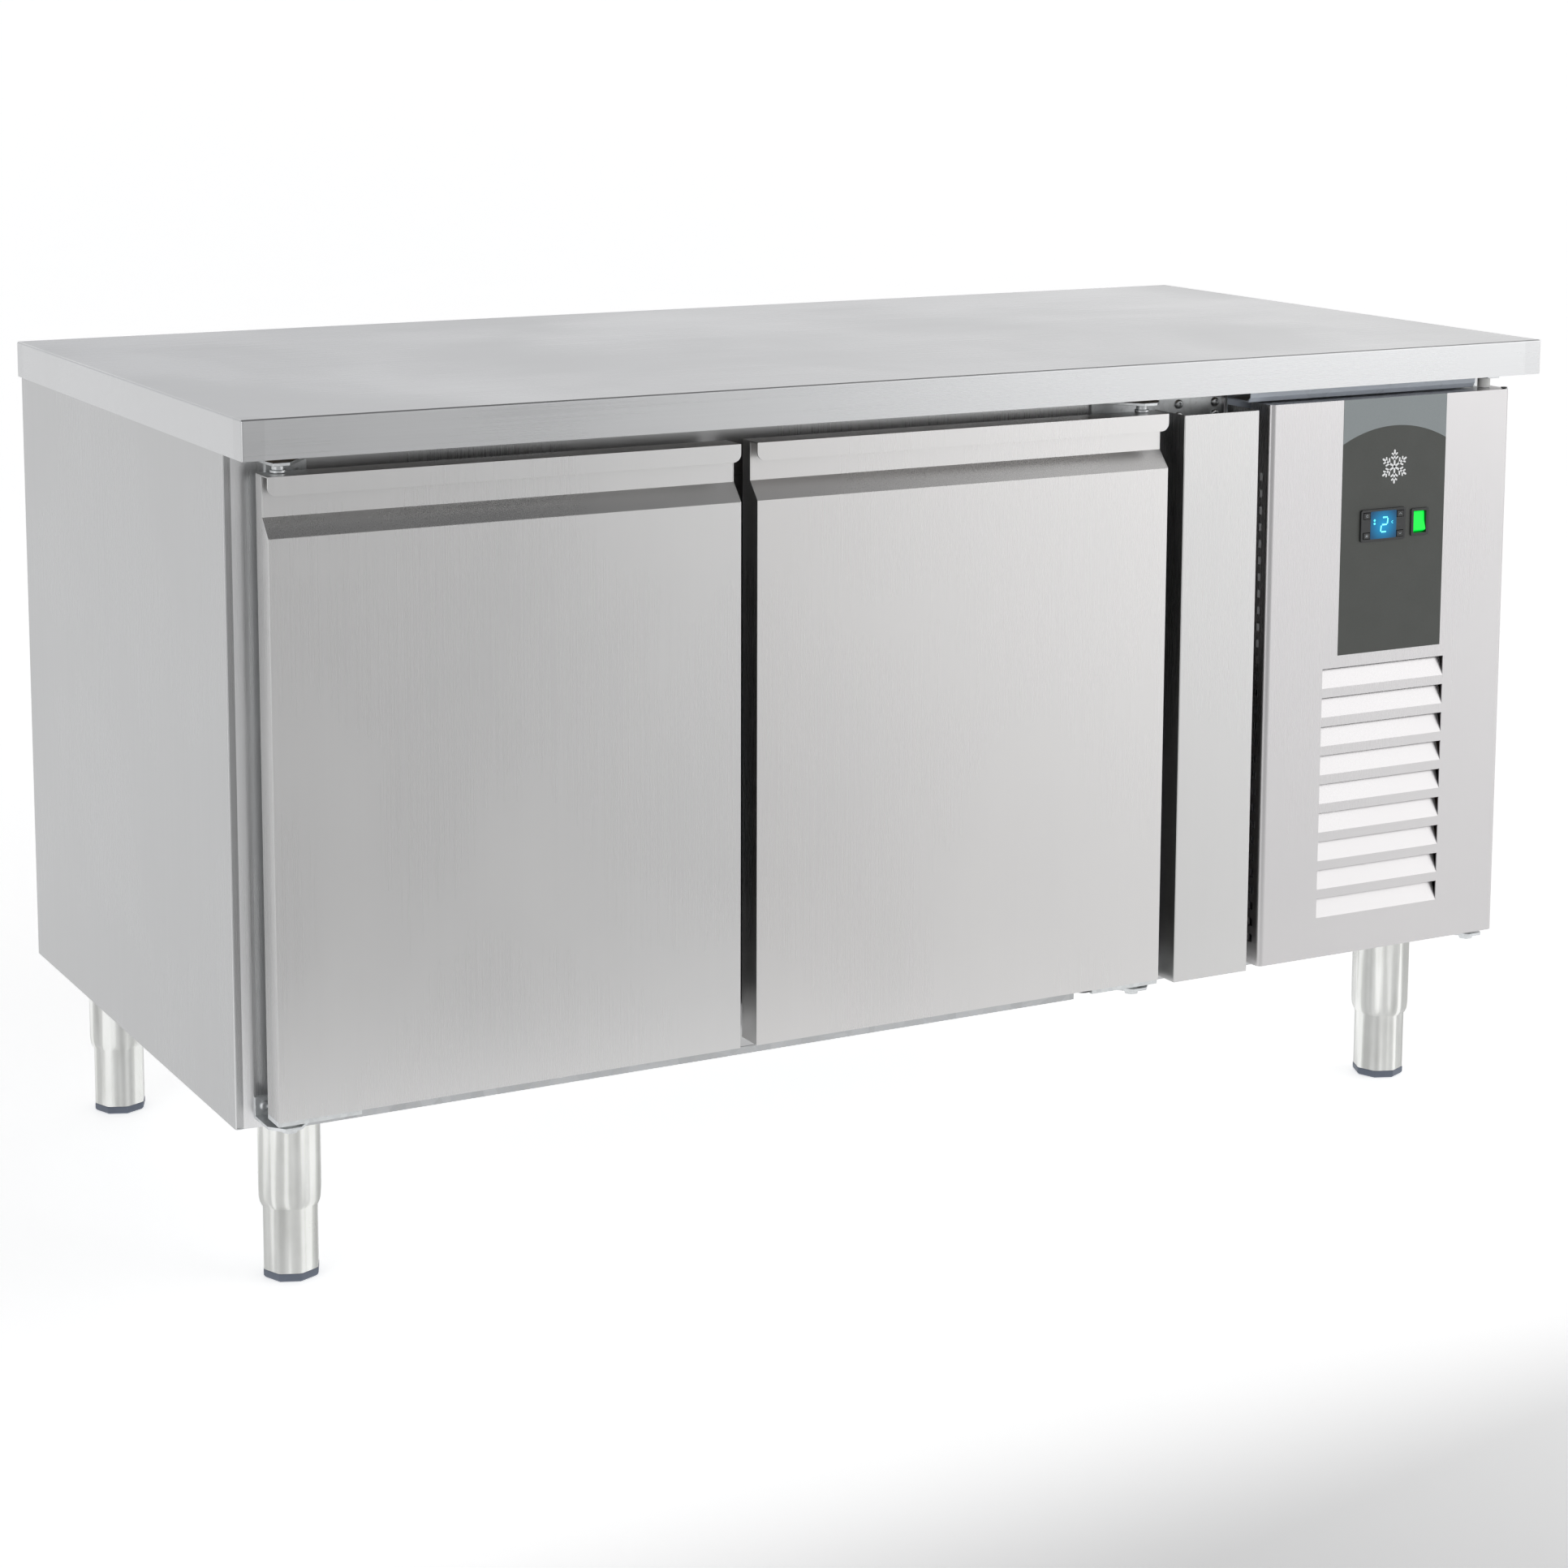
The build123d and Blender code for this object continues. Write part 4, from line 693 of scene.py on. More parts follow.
# ---- feet ----
def octagon_ring(bm, x, y, flats, z, corner):
    """One ring of an octagon, each corner rounded by three points."""
    radius = flats / 2 / math.cos(math.pi / 8)
    share = corner / (2 * radius * math.sin(math.pi / 8))
    corners = circle(radius, 8, z)
    ring = []
    for i, here in enumerate(corners):
        before, after = here.lerp(corners[i - 1], share), here.lerp(corners[(i + 1) % 8], share)
        ring += [before, (before + after + 2 * here) / 4, after]
    return [bm.verts.new((x + p.x, y + p.y, z)) for p in ring]


def octagon_loft(bm, x, y, sections, corner=1.8 * MM):
    """Joins octagon rings given as (across flats, z), closed at both ends."""
    loft(bm, [octagon_ring(bm, x, y, flats, z, corner) for flats, z in sections])


def swage(narrow, wide, low, high, steps=6):
    """Sections of a convex shoulder, which runs level with the sleeve at its top."""
    turns = [math.pi / 2 * i / steps for i in range(steps + 1)]
    return [
        (narrow + (wide - narrow) * math.sin(t), low + (high - low) * (1 - math.cos(t)))
        for t in turns
    ]


# Sizes across the octagons' flats.
SLEEVE_FLATS, TUBE_FLATS = 57 * MM, 49.6 * MM
SLEEVE_BORE, SLEEVE_MOUTH = 50.6 * MM, 52.4 * MM
SWAGE_HEIGHT, GLIDE_HEIGHT = 15 * MM, 8 * MM


def tube_sections(top):
    """The foot's tube, from the glide up to its hidden upper end."""
    return [
        (TUBE_FLATS - 3 * MM, GLIDE_HEIGHT), (TUBE_FLATS - 0.6 * MM, GLIDE_HEIGHT),
        (TUBE_FLATS, GLIDE_HEIGHT + 0.5 * MM), (TUBE_FLATS, top),
    ]


def glide_sections():
    """The plastic glide: a rounded sole and a rim a little wider than the tube."""
    return [
        (TUBE_FLATS - 6 * MM, 0), (TUBE_FLATS - 3.5 * MM, 0.1 * MM),
        (TUBE_FLATS - 1.2 * MM, 1.2 * MM), (TUBE_FLATS + 0.3 * MM, 2.4 * MM),
        (TUBE_FLATS + 0.4 * MM, GLIDE_HEIGHT - 0.8 * MM), (TUBE_FLATS - 0.4 * MM, GLIDE_HEIGHT),
    ]


def sleeve_sections(low, high):
    """The sleeve: a short bore, a swaged shoulder and a plain upper part."""
    shoulder = swage(SLEEVE_MOUTH + 0.3 * MM, SLEEVE_FLATS, low + 1.5 * MM, low + SWAGE_HEIGHT)
    return [
        (SLEEVE_BORE, low + 10 * MM), (SLEEVE_BORE, low), (SLEEVE_MOUTH, low), *shoulder,
        (SLEEVE_FLATS, high - 0.5 * MM), (SLEEVE_FLATS - 1 * MM, high),
    ]


def feet_and_sleeves():
    """Each leg: a sleeve that is swaged in at its lower end, a tube and a glide."""
    sleeves = bmesh.new()
    low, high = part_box("leg_sleeves")
    for depth in ("front", "rear"):
        for side in ("left", "right"):
            node = f"foot_{depth}_{side}"
            first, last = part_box(node)
            x, y = (first.x + last.x) / 2, (first.y + last.y) / 2
            octagon_loft(sleeves, x, y, sleeve_sections(low.z, high.z))
            tube = bmesh.new()
            octagon_loft(tube, x, y, tube_sections(last.z))
            weigh(piece(f"{node}_tube", tube, "leg_steel", f"{depth}_{side}_foot", replaces=[node]))
            pad = bmesh.new()
            octagon_loft(pad, x, y, glide_sections(), 0.8 * MM)
            weigh(piece(f"{node}_glide", pad, "glide", f"{depth}_{side}_foot"))
    weigh(piece("leg_sleeves_swaged", sleeves, "leg_steel", "cabinet", replaces=["leg_sleeves"]), 60)


feet_and_sleeves()


# ---- hinge pins and screws ----
def hex_nut(bm, x, y, z, flats, height):
    """A hexagon nut with chamfered corners, its lower face at z."""
    radius = flats / 2 / math.cos(math.pi / 6)
    chamfer, narrow = 0.6 * MM, 0.9
    rings = []
    for scale, level in ((narrow, 0), (1, chamfer), (1, height - chamfer), (narrow, height)):
        points = circle(radius * scale, 6, z + level)
        rings.append([bm.verts.new((x + p.x, y + p.y, p.z)) for p in points])
    loft(bm, rings)


PIVOT_Y = frame["joints"][0]["pos_m"][1]
PIVOTS = {
    joint["name"].replace("_hinge", ""): joint["pos_m"][0]
    for joint in frame["joints"] if joint["name"].endswith("_hinge")
}

# Profiles of a pin's pieces, as (radius, height) in mm; each list says what its heights start from.
PIN_R = 4.0
PIN_IN = 14.0                       # how far a pin reaches into a door or the cover
PLAY = 0.3
PIN_COLLAR = [                      # from the door's or the cover's top, its inner end first
    (0, -PIN_IN), (PIN_R, 1 - PIN_IN), (PIN_R, PLAY), (6.8, PLAY), (7.2, 0.7), (7.2, 2.6),
    (6.8, 3.1), (5.6, 3.3), (5.6, 9.9), (4.8, 10.5), (0, 10.5),
]
BUSH_LOWER = [(PIN_R, 3.0), (6.9, 3.0), (7.2, 3.5)]        # from the bracket
BUSH_UPPER = [(6.6, -1.0), (5.8, -PLAY), (PIN_R, -PLAY)]   # from the door's underside
SPACER_LOWER = [(PIN_R, PLAY), (6.0, PLAY), (6.5, 0.9)]    # from the cover's top
SPACER_UPPER = [(6.5, -3.6), (6.1, -3.0), (PIN_R, -3.0)]   # from the pin's top


def raised(profile, z):
    """A profile in mm, moved up to start from z."""
    return [(radius * MM, z + height * MM) for radius, height in profile]


def pins():
    """Pins with nuts below, collared pins above, and nylon bushes."""
    metal, nylon = bmesh.new(), bmesh.new()
    low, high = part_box("hinge_pins")
    bracket = low.z + 5 * MM
    lower_end, upper_end = [(0, 0), (PIN_R - 0.8, 0), (PIN_R, 0.8)], [(PIN_R, PIN_IN), (0, PIN_IN + 1)]
    for name, x in PIVOTS.items():
        cover = name == "service_cover"
        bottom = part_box("cover_panel" if cover else f"{name}_hinge_plates")[0].z
        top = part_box("cover_panel" if cover else f"{name}_handle")[1].z
        at = (x, PIVOT_Y, 0)
        hex_nut(metal, x, PIVOT_Y, low.z, 13 * MM, 5 * MM)
        turned(metal, at, "Z", raised(lower_end, low.z) + raised(upper_end, bottom))
        turned(nylon, at, "Z", raised(BUSH_LOWER, bracket) + raised(BUSH_UPPER, bottom))
        if cover:
            turned(nylon, at, "Z", raised(SPACER_LOWER, top) + raised(SPACER_UPPER, high.z))
            turned(metal, at, "Z", raised(PIN_COLLAR[:2], top) + raised([(PIN_R, 0), (0, 0)], high.z))
        else:
            turned(metal, at, "Z", raised(PIN_COLLAR, top))
    piece("hinge_pins_turned", metal, "zinc_bracket", "cabinet", replaces=["hinge_pins"])
    piece("hinge_bushes", nylon, "nylon", "cabinet")


def pan_head(bm, x, y, z, radius, socket):
    """A domed screw head that faces the front, with a round socket in it; y is the seat."""
    turned(bm, (x, y, z), "Y", [
        (0, -0.6 * MM), (socket * 0.9, -0.6 * MM), (socket, -0.8 * MM), (socket, -2.4 * MM),
        (socket + 0.3 * MM, -2.6 * MM), (radius * 0.72, -2.5 * MM), (radius * 0.92, -1.9 * MM),
        (radius, -1.1 * MM), (radius, 0), (0, 0),
    ], 24)


def screws():
    """Socket pan heads; each sits where its plain CAD head is."""
    bm = bmesh.new()
    source = bmesh.new()
    source.from_mesh(NODES["frame_screws"].data)
    bmesh.ops.remove_doubles(source, verts=source.verts, dist=SAME_SPOT)
    for low, high in shells(source):
        x, z = (low.x + high.x) / 2, (low.z + high.z) / 2
        radius = (high.x - low.x) / 2
        pan_head(bm, x, high.y, z, radius, radius * 0.42)
    source.free()
    piece("bracket_screws", bm, "zinc_bracket", "cabinet", replaces=["frame_screws"])


def shells(bm):
    """Boxes round each connected set of vertices."""
    left = set(bm.verts)
    boxes = []
    while left:
        stack = [left.pop()]
        found = []
        while stack:
            vert = stack.pop()
            found.append(vert.co.copy())
            for edge in vert.link_edges:
                other = edge.other_vert(vert)
                if other in left:
                    left.remove(other)
                    stack.append(other)
        low = Vector([min(p[i] for p in found) for i in range(3)])
        high = Vector([max(p[i] for p in found) for i in range(3)])
        boxes.append((low, high))
    return sorted(boxes, key=lambda box: tuple(box[0]))


def pan_head_below(bm, x, y, z, radius, height):
    """A low domed head that hangs from a face at z."""
    turned(bm, (x, y, z), "Z", [
        (0, -height), (radius * 0.45, -height * 0.98), (radius * 0.8, -height * 0.75),
        (radius, -height * 0.35), (radius, 0), (0, 0),
    ], 24)


PLATE_BOLT_OUT, PLATE_BOLT_Y = 30.5 * MM, -326 * MM
PLATE_BOLT_FLATS, PLATE_BOLT_HEIGHT = 10 * MM, 3.6 * MM
LIP_SCREWS_X = (-372 * MM, -188 * MM, 96 * MM, 520 * MM)


def small_fasteners():
    """Hinge plate bolts, two plugs and the screws in the worktop's lip."""
    for side, inwards in (("left", 1), ("right", -1)):
        x = PIVOTS[f"{side}_door"] + inwards * PLATE_BOLT_OUT
        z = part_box(f"{side}_door_hinge_plates")[0].z - PLATE_BOLT_HEIGHT
        bm = bmesh.new()
        hex_nut(bm, x, PLATE_BOLT_Y, z, PLATE_BOLT_FLATS, PLATE_BOLT_HEIGHT)
        piece(f"{side}_hinge_plate_bolt", bm, "zinc_bracket", f"{side}_door")
    low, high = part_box("right_door_skin")
    bm = bmesh.new()
    pan_head_below(bm, high.x - 84 * MM, -331 * MM, low.z, 10.5 * MM, 3.4 * MM)
    piece("right_door_drain_plug", bm, "black_plastic", "right_door")
    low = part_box("worktop_skin")[0]
    bm = bmesh.new()
    for x in LIP_SCREWS_X:
        pan_head_below(bm, x, low.y + 9 * MM, low.z, 3.0 * MM, 1.6 * MM)
    piece("worktop_lip_screws", bm, "zinc_bracket", "cabinet")
    low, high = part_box("cover_panel")
    bm = bmesh.new()
    pan_head_below(bm, high.x - 4.5 * MM, low.y + 5 * MM, high.z + 1.6 * MM, 3.4 * MM, 1.6 * MM)
    piece("cover_corner_plug", bm, "black_plastic", "service_cover")


SIDE_SHEET, CORNER_EASE = 1.2 * MM, 0.7 * MM
FOLD_CROWN_X = -686 * MM            # the front fold is foremost here, and leans back towards the corner
FOLD_EASE, FOLD_SLOPE, FOLD_STEPS = 6 * MM, 0.114, 12
FRONTWARDS = -0.5                   # a face whose normal's Y is below this belongs to the front fold, which gets the lighter steel with painted light


def left_side():
    """The left side sheet; its front fold leans back a little from the door to the corner."""
    low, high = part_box("left_side_panel")
    first = low.x + CORNER_EASE
    fold = []
    for i in range(FOLD_STEPS + 1):
        x = first + (FOLD_CROWN_X - first) * i / FOLD_STEPS
        run = FOLD_CROWN_X - x
        back = FOLD_SLOPE * (run * run / (2 * FOLD_EASE) if run < FOLD_EASE else run - FOLD_EASE / 2)
        fold.append((x, low.y + back))
    corner = fold[0][1]
    outer = [(low.x, high.y), (low.x, corner + 0.8 * MM), (low.x + 0.2 * MM, corner + 0.3 * MM)]
    outer += fold + [(high.x, low.y)]
    inner = [(low.x + SIDE_SHEET, high.y), (low.x + SIDE_SHEET, corner + 1.8 * MM)]
    inner += [(x, y + SIDE_SHEET) for x, y in fold[1:]] + [(high.x, low.y + SIDE_SHEET)]
    bm = bmesh.new()
    outline = outer + inner[::-1]
    loft(bm, [[bm.verts.new((x, y, z)) for x, y in outline] for z in (low.z, high.z)])
    panel = piece("left_side_panel_folded", bm, "side_steel", "cabinet", replaces=["left_side_panel"])
    # The front fold's faces get the lighter copy of the side steel, which is painted light.
    panel.data.materials.append(FINISHES["return_steel"])
    for face in panel.data.polygons:
        if face.normal.y < FRONTWARDS:
            face.material_index = 1
    weigh(panel, 20)


pins()
screws()
small_fasteners()
left_side()


# ---- door seals ----
def seal(side):
    """A magnetic seal with a bellows fold and mitred corners, round the door's inner edge."""
    low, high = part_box(f"{side}_door_gasket")
    deep = high.y - low.y
    # Across the seal in mm from its outer edge, and through its depth as a share of it.
    profile = [
        (3.0, 0.0), (2.4, 0.06), (2.6, 0.16), (4.6, 0.22), (4.9, 0.30), (1.6, 0.40), (1.2, 0.46),
        (1.9, 0.52), (0.5, 0.60), (0.0, 0.70), (0.0, 0.90), (0.6, 0.98), (1.6, 1.0), (14.4, 1.0),
        (15.4, 0.98), (16.0, 0.90), (16.0, 0.70), (15.5, 0.60), (13.9, 0.52), (14.6, 0.46),
        (14.2, 0.40), (11.0, 0.30), (11.3, 0.22), (13.2, 0.16), (13.4, 0.06), (12.8, 0.0),
    ]
    bm = bmesh.new()
    rings = []
    for sx, sz in ((0, 0), (1, 0), (1, 1), (0, 1)):
        ring = []
        for across, share in profile:
            inset = across * MM
            x = high.x - inset if sx else low.x + inset
            z = high.z - inset if sz else low.z + inset
            ring.append(bm.verts.new((x, low.y + share * deep, z)))
        rings.append(ring)
    loft(bm, rings, closed=True)
    piece(f"{side}_door_seal", bm, "seal", f"{side}_door", replaces=[f"{side}_door_gasket"])


for side in ("left", "right"):
    seal(side)


# ---- shelves ----
WIRE_R, RIM_R = 1.9 * MM, 3.0 * MM
WIRE_PITCH = 24 * MM


def wire_shelf(side):
    """A plastic-coated wire shelf: closely set wires on cross bars and a rim."""
    node = f"wire_shelf_{side}"
    low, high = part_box(node)
    bm = bmesh.new()
    top = high.z - WIRE_R
    rim = low.z + RIM_R
    x0, x1, y0, y1 = low.x + RIM_R, high.x - RIM_R, low.y + RIM_R, high.y - RIM_R
    bend = 12 * MM
    for x in (x0, x1):
        wire(bm, (x, y0 + bend, rim), (x, y1 - bend, rim), RIM_R)
    for y in (y0, y1):
        wire(bm, (x0 + bend, y, rim), (x1 - bend, y, rim), RIM_R)
    for x, y, start in ((x0 + bend, y0 + bend, 180), (x1 - bend, y0 + bend, 270),
                        (x1 - bend, y1 - bend, 0), (x0 + bend, y1 - bend, 90)):
        hoop(bm, (x, y, rim), "Z", bend, RIM_R, start, start + 90, 8)
    count = round((x1 - x0) / WIRE_PITCH)
    for i in range(1, count):
        x = x0 + (x1 - x0) * i / count
        wire(bm, (x, y0, top), (x, y1, top), WIRE_R, 8)
    for share in (0.33, 0.67):
        y = y0 + (y1 - y0) * share
        wire(bm, (x0, y, rim), (x1, y, rim), RIM_R)
    piece(f"{node}_wires", bm, "shelf_coat", "cabinet", replaces=[node])


for side in ("left", "right"):
    wire_shelf(side)


# ---- finned coils ----
COIL_TUBE_R = 4.2 * MM
FIN_HALF, END_PLATE_HALF = 0.14 * MM, 0.55 * MM
COIL_END = 14 * MM                  # room beyond the end plates for the return bends


def finned_coil(node, run, pitch, rows, ranks=2):
    """Thin fins on copper tubes; run is the tubes' axis (0 X, 1 Y)."""
    face = 1 - run
    low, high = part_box(node)
    fins, tubes = bmesh.new(), bmesh.new()
    first, last = low.copy(), high.copy()
    first[run] += COIL_END
    last[run] -= COIL_END
    count = int((last[run] - first[run]) / pitch)
    for i in range(count + 1):
        at = first[run] + (last[run] - first[run]) * i / count
        a, b = first.copy(), last.copy()
        half = END_PLATE_HALF if i in (0, count) else FIN_HALF
        a[run], b[run] = at - half, at + half
        block(fins, a, b)
    step = (high.z - low.z) / rows
    for rank in range(ranks):
        depth = low[face] + (high[face] - low[face]) * (rank + 0.5) / ranks
        for row in range(rows):
            z = low.z + step * (row + 0.5)
            a, b = Vector((0, 0, z)), Vector((0, 0, z))
            a[face] = b[face] = depth
            a[run], b[run] = first[run] - 1 * MM, last[run] + 1 * MM
            wire(tubes, a, b, COIL_TUBE_R, 12)
            if row < rows - 1:
                right = (row + rank) % 2 == 0
                centre = Vector(b if right else a)
                centre.z = z + step / 2
                u_bend(tubes, centre, run, 1 if right else -1, step / 2)
    piece(f"{node}_fins", fins, "fins", "cabinet", replaces=[node])
    piece(f"{node}_tubes", tubes, "copper", "cabinet")


def u_bend(bm, centre, run, sign, reach, steps=10, sides=12):
    """A return bend between two tubes, one above the other, that stays inside the coil's box."""
    squeeze = min(1.0, (COIL_END - 1.2 * MM - COIL_TUBE_R) / reach)
    rings = []
    for i in range(steps + 1):
        a = math.radians(-90 + 180 * i / steps)
        out = Vector((0, 0, 0))
        out[run] = sign * math.cos(a)
        out.z = math.sin(a)
        spot = centre.copy()
        spot[run] += sign * math.cos(a) * reach * squeeze
        spot.z += math.sin(a) * reach
        side = Vector((0, 0, 0))
        side[1 - run] = 1
        points = circle(COIL_TUBE_R, sides)
        rings.append([bm.verts.new(spot + out * p.x + side * p.y) for p in points])
    loft(bm, rings)


finned_coil("condenser_coil", 0, 2.6 * MM, 11)
finned_coil("evaporator_coil", 1, 4.2 * MM, 8)


# ---- fans ----
BLADES = 5
BLADE_GRID = 8                      # cells along a blade and across it
BLADE_CHORD, BLADE_SWELL = 30, 26   # degrees round the axis: the least, and what is added mid-blade
BLADE_UNTWIST = 0.45                # share of the pitch lost between root and tip
BLADE_SWEEP = 0.16                  # radians that the tip runs ahead of the root
BLADE_CAMBER, BLADE_SHEET = 12.8 * MM, 1.1 * MM
BLADE_MARGIN = 0.4 * MM             # between a blade and the hub's ends
ROOT = 0.97                         # a blade starts this share of the hub's radius out
FAN_DEPTH, SHAFT_R = 28 * MM, 4 * MM


def blade_spot(share, u, radius, pitch, deep):
    """Angle about the axis and height along it, for u from -0.5 to 0.5 across the blade."""
    chord = math.radians(BLADE_CHORD + BLADE_SWELL * math.sin(math.pi * (0.15 + 0.75 * max(share, 0))))
    tilt = math.tan(math.radians(pitch)) * (1 - BLADE_UNTWIST * share)
    height = deep / 2 - u * chord * radius * tilt + BLADE_CAMBER * (0.25 - u * u)
    return u * chord + BLADE_SWEEP * share, min(max(height, BLADE_MARGIN), deep - BLADE_MARGIN)


def fan(node, axis, body, finish, hub_r, pitch):
    """A hub with twisted, curved blades; axis is 0 for X or 1 for Y."""
    low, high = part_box(node)
    centre = (low + high) / 2
    radius = (high.z - low.z) / 2
    front, shaft_end = low[axis], high[axis]
    deep = min(FAN_DEPTH, (shaft_end - front) * 0.75)
    bm = bmesh.new()
    at = centre.copy()
    at[axis] = 0
    turned(bm, at, "XY"[axis], [
        (0, front), (hub_r * 0.55, front), (hub_r * 0.9, front + 2 * MM), (hub_r, front + 5 * MM),
        (hub_r, front + deep), (hub_r - 2 * MM, front + deep), (SHAFT_R, front + deep),
        (SHAFT_R, shaft_end), (0, shaft_end),
    ])
    steps = range(BLADE_GRID + 1)
    for blade in range(BLADES):
        grid = {}
        for side, i, k in ((side, i, k) for side in (0, 1) for i in steps for k in steps):
            r = hub_r * ROOT + (radius - hub_r * ROOT) * i / BLADE_GRID
            share = (r - hub_r) / (radius - hub_r)
            turn, height = blade_spot(share, k / BLADE_GRID - 0.5, r, pitch, deep)
            turn += math.radians(360 * blade / BLADES)
            spot = centre.copy()
            spot[axis] = front + height + side * BLADE_SHEET
            spot[1 - axis] += r * math.cos(turn)
            spot.z += r * math.sin(turn)
            grid[side, i, k] = bm.verts.new(spot)
        skin(bm, grid)
    piece(f"{node}_blades", bm, finish, body, replaces=[node])


def skin(bm, grid):
    """Closes a blade's two-sided grid of vertices into a thin solid."""
    for side in (0, 1):
        for i in range(BLADE_GRID):
            for k in range(BLADE_GRID):
                corners = (i, k), (i + 1, k), (i + 1, k + 1), (i, k + 1)
                bm.faces.new([grid[side, *corner] for corner in corners])
    for i in range(BLADE_GRID):
        for k in (0, BLADE_GRID):
            bm.faces.new((grid[0, i, k], grid[0, i + 1, k], grid[1, i + 1, k], grid[1, i, k]))
    for k in range(BLADE_GRID):
        for i in (0, BLADE_GRID):
            bm.faces.new((grid[0, i, k], grid[0, i, k + 1], grid[1, i, k + 1], grid[1, i, k]))


GUARD_WIRE_R, GUARD_SPOKE_R = 1.1 * MM, 1.265 * MM
GUARD_SPOKES, SPOKE_STEPS = 6, 6
GUARD_OFF = 3 * MM                  # between a guard's rim and the sheet behind it


def fan_guard(name, centre, axis, radius, rings, bulge):
    """Concentric wire rings on spokes, domed outwards by bulge."""
    bm = bmesh.new()
    for i in range(rings):
        r = radius * (0.22 + 0.78 * (i + 1) / rings)
        at = Vector(centre)
        at[axis] += bulge * (1 - (r / radius) ** 2)
        hoop(bm, at, "XY"[axis], r, GUARD_WIRE_R, steps=56, sides=8)
    for i in range(GUARD_SPOKES):
        a = 2 * math.pi * (i + 0.5) / GUARD_SPOKES
        spots = []
        for step in range(SPOKE_STEPS + 1):
            r = radius * (0.1 + 0.96 * step / SPOKE_STEPS)
            spot = Vector(centre)
            spot[axis] += bulge * (1 - (r / radius) ** 2) + math.copysign(1.8 * MM, bulge)
            spot[1 - axis] += r * math.cos(a)
            spot.z += r * math.sin(a)
            spots.append(spot)
        for start, end in zip(spots, spots[1:]):
            wire(bm, start, end, GUARD_SPOKE_R, 8)
    piece(name, bm, "zinc_bracket", "cabinet")


def guards():
    """One guard before each fan."""
    centre = sum(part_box("evaporator_fan"), Vector()) / 2
    centre.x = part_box("evaporator_housing")[0].x - GUARD_OFF
    fan_guard("evaporator_guard", centre, 0, 82 * MM, 8, -9 * MM)
    centre = sum(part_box("condenser_fan"), Vector()) / 2
    centre.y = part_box("condenser_shroud")[1].y + GUARD_OFF
    fan_guard("condenser_guard", centre, 1, 112 * MM, 9, 7 * MM)


fan("evaporator_fan", 0, "evaporator_rotor", "black_plastic", 24 * MM, 20)
fan("condenser_fan", 1, "condenser_rotor", "fins", 30 * MM, 22)


# ---- label and display ----
SNOW_Z, SNOW_REACH, SNOW_LINE = 688 * MM, 17 * MM, 2.1 * MM
TWIGS = ((0.42, 0.30), (0.68, 0.24))  # place along an arm and length, as shares of it
TWIG_ANGLE = math.radians(55)
STRIP_TIP = 0.35                    # how far a bar's end is pointed, as a share of its width
DIGIT_SLANT = 0.12


def snowflake(bm, x, z, y, reach, width, thick):
    """A plain six-armed snow crystal."""
    for arm in range(6):
        a = math.radians(60 * arm + 30)
        out = Vector((math.cos(a), math.sin(a)))
        strip(bm, (x, z), (x + out.x * reach, z + out.y * reach), width, y, thick)
        for share, length in TWIGS:
            root = (x + out.x * reach * share, z + out.y * reach * share)
            for turn in (-1, 1):
                b = a + turn * TWIG_ANGLE
                far = reach * length
                tip = (root[0] + math.cos(b) * far, root[1] + math.sin(b) * far)
                strip(bm, root, tip, width * 0.85, y, thick)


def strip(bm, start, end, width, y, thick):
    """A flat bar between two (x, z) points, facing the front."""
    a, b = Vector(start), Vector(end)
    along = (b - a).normalized()
    side = Vector((-along.y, along.x)) * width / 2
    tip = along * width * STRIP_TIP
    outline = [a + side, a - side, b - side, b + tip - side * 0.2, b + tip + side * 0.2, b + side]
    plate(bm, [(p.x, p.y) for p in outline], y, thick)


def flat_print(name, colour):
    """Printing ink with a fine grain."""
    f = Finish(name)
    grain = f.noise(1800.0, 2.0)
    f.surface(f.ramp(grain, (0.3, shade(colour, 0.93)), (0.7, colour)), f.remap(grain, 0.42, 0.5))
    return f.material


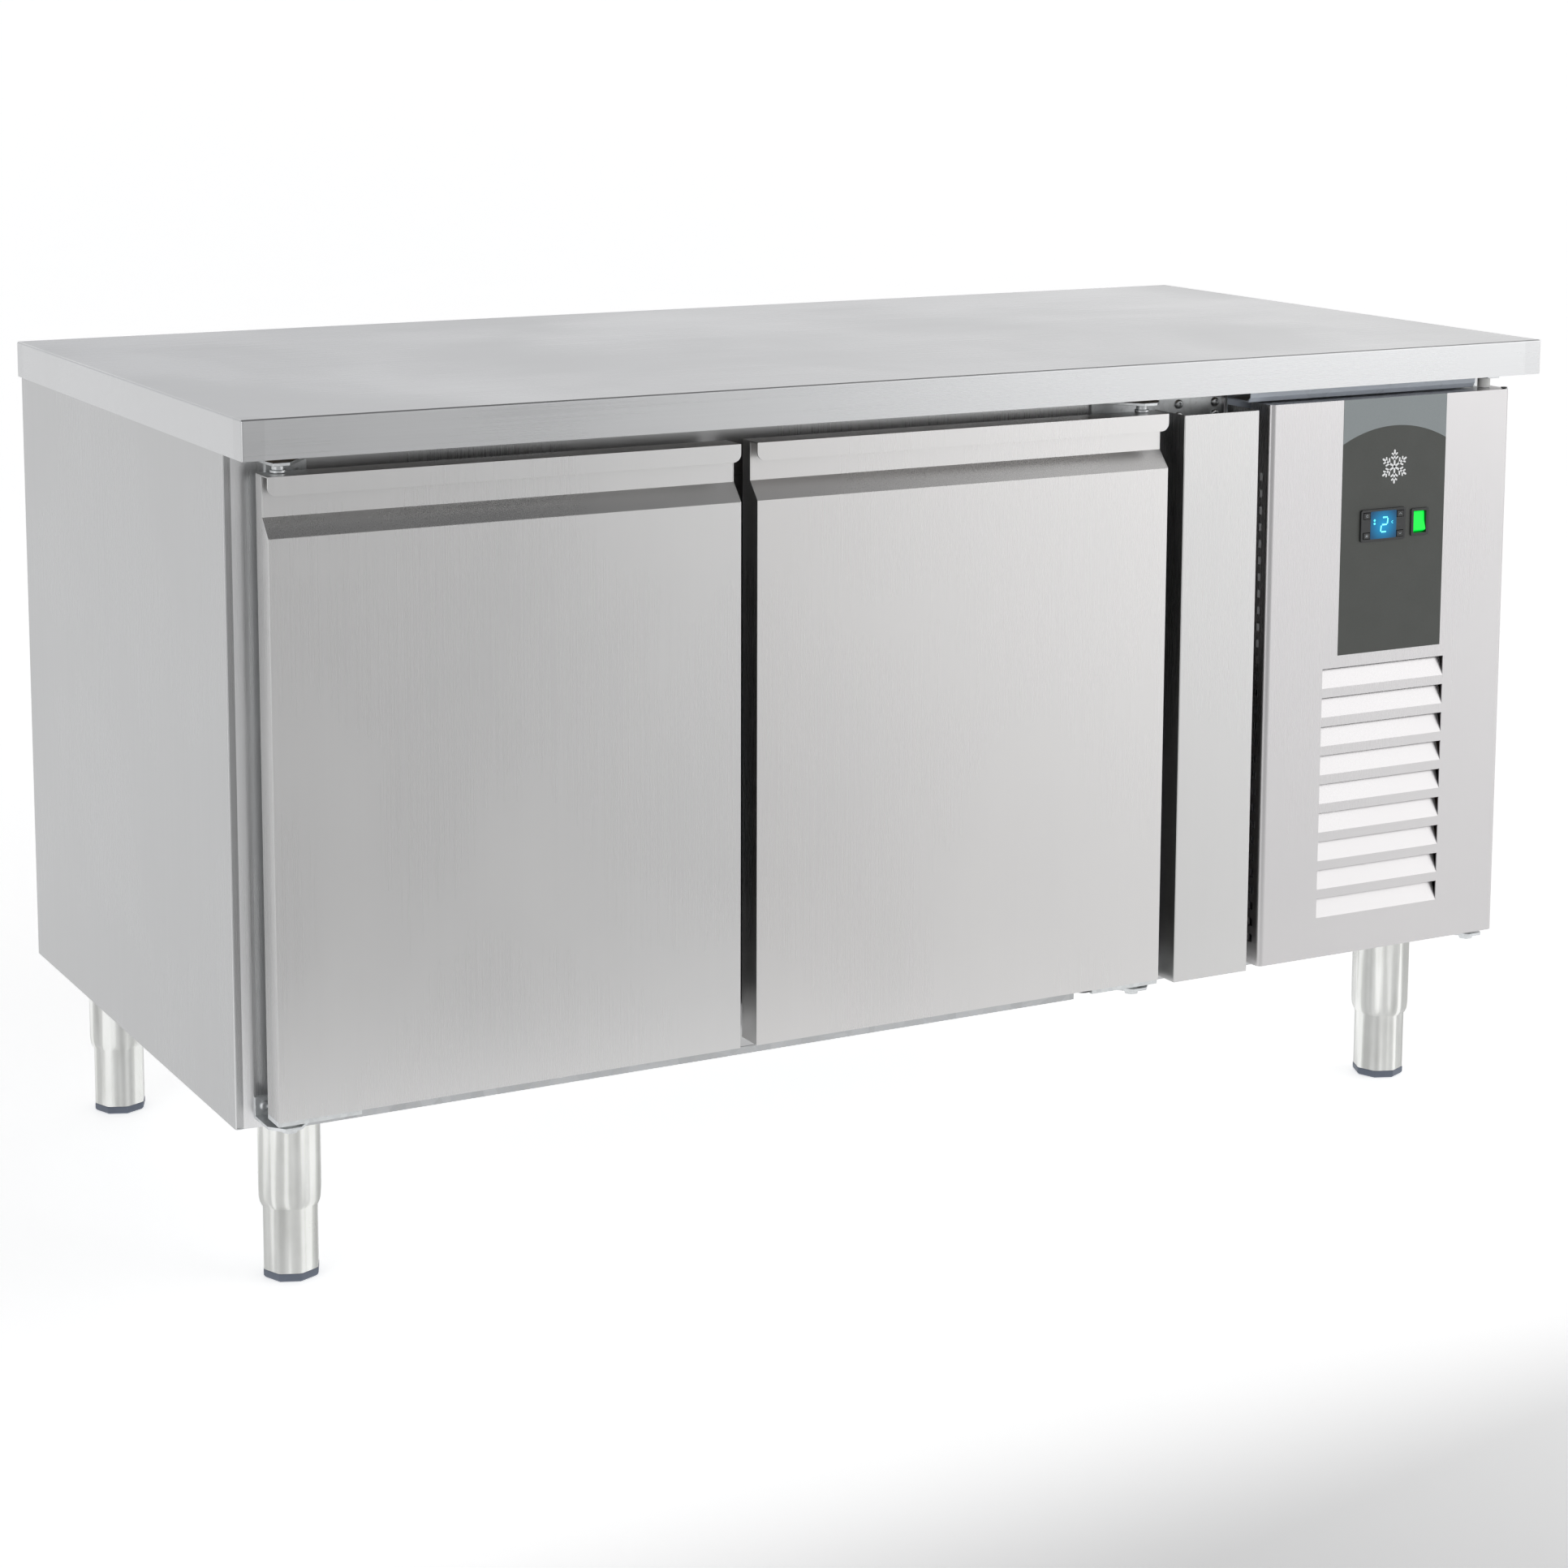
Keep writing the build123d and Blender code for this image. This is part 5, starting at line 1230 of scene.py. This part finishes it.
def controls():
    """The label's crystal, the lit display and the symbols on the keys."""
    label_low, label_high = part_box("control_label")
    low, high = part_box("controller")
    face = low.y
    mid_x = (label_low.x + label_high.x) / 2
    bm = bmesh.new()
    snowflake(bm, mid_x, SNOW_Z, label_low.y - 0.12 * MM, SNOW_REACH, SNOW_LINE, 0.14 * MM)
    piece("label_icon", bm, flat_print("white_print", (0.86, 0.87, 0.87)), "service_cover")

    window_x = low.x + 12.0 * MM, high.x - 12.0 * MM
    window_z = low.z + 2.6 * MM, high.z - 2.2 * MM
    centre = Vector(((window_x[0] + window_x[1]) / 2, face, (window_z[0] + window_z[1]) / 2))
    glow = glowing("display_glow", (0.0, 0.30, 0.62), 0.9, (0.006, 0.07, 0.16), centre, 20 * MM)
    bm = bmesh.new()
    plate(bm, rounded(window_x, window_z, 1.5 * MM), face - 0.12 * MM, 0.3 * MM)
    piece("display_window", bm, glow, "service_cover")

    lit = glowing("display_lit", (0.25, 0.98, 1.0), 1.5, (0.04, 0.80, 1.0), centre, 20 * MM)
    bm = bmesh.new()
    y, thick = face - 0.22 * MM, 0.12 * MM
    digit(bm, "abged", centre.x + 1.0 * MM, centre.z, 7.5 * MM, 15 * MM, 1.5 * MM, y, thick)
    for dx, dz in ((-11.5, 5.0), (-11.5, 1.6)):
        spark(bm, centre.x + dx * MM, centre.z + dz * MM, 1.2 * MM, y, thick)
    ring_at = (centre.x + 11.5 * MM, y + thick / 2, centre.z + 2.0 * MM)
    hoop(bm, ring_at, "Y", 1.1 * MM, 0.25 * MM, 60, 300, 14, 6)
    piece("display_digits", bm, lit, "service_cover")

    icon = flat_print("icon_print", (0.42, 0.45, 0.47))
    for key in ("set", "light", "up", "down"):
        key_low, key_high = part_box(f"key_{key}")
        bm = bmesh.new()
        x, z = (key_low.x + key_high.x) / 2, (key_low.z + key_high.z) / 2
        y = key_low.y - 0.07 * MM
        pictogram(bm, key, x, z, y)
        piece(f"{key}_key_icon", bm, icon, f"{key}_key")


def pictogram(bm, key, x, z, y):
    """The small symbol on a key: a square, a sun, or an arrow."""
    thick, size = 0.1 * MM, 1.5 * MM
    if key == "set":
        for i in range(4):
            a, b = math.radians(45 + 90 * i), math.radians(135 + 90 * i)
            ends = [(x + size * math.cos(t), z + size * math.sin(t)) for t in (a, b)]
            strip(bm, *ends, 0.35 * MM, y, thick)
    elif key == "light":
        spark(bm, x, z, 0.9 * MM, y, thick)
        for i in range(8):
            a = math.radians(45 * i)
            ends = [(x + r * MM * math.cos(a), z + r * MM * math.sin(a)) for r in (1.3, 2.0)]
            strip(bm, *ends, 0.3 * MM, y, thick)
    else:
        sign = 1 if key == "up" else -1
        tip = (x, z + sign * 0.8 * MM)
        for turn in (-1, 1):
            strip(bm, (x + turn * size, z - sign * 0.7 * MM), tip, 0.4 * MM, y, thick)


def spark(bm, x, z, radius, y, thick):
    """A small round dot."""
    plate(bm, [(x + p.x, z + p.y) for p in circle(radius, 12)], y, thick)


def digit(bm, parts, x, z, width, height, stroke, y, thick):
    """A slanted seven-segment figure; parts names the lit bars."""
    w, h, gap = width / 2, height / 2, stroke * 0.62
    bars = {
        "a": ((-w + gap, h), (w - gap, h)), "g": ((-w + gap, 0), (w - gap, 0)),
        "d": ((-w + gap, -h), (w - gap, -h)), "b": ((w, h - gap), (w, gap)),
        "e": ((-w, -gap), (-w, -h + gap)),
    }
    for part in parts:
        ends = [(x + px + pz * DIGIT_SLANT, z + pz) for px, pz in bars[part]]
        strip(bm, *ends, stroke, y, thick)


controls()
guards()
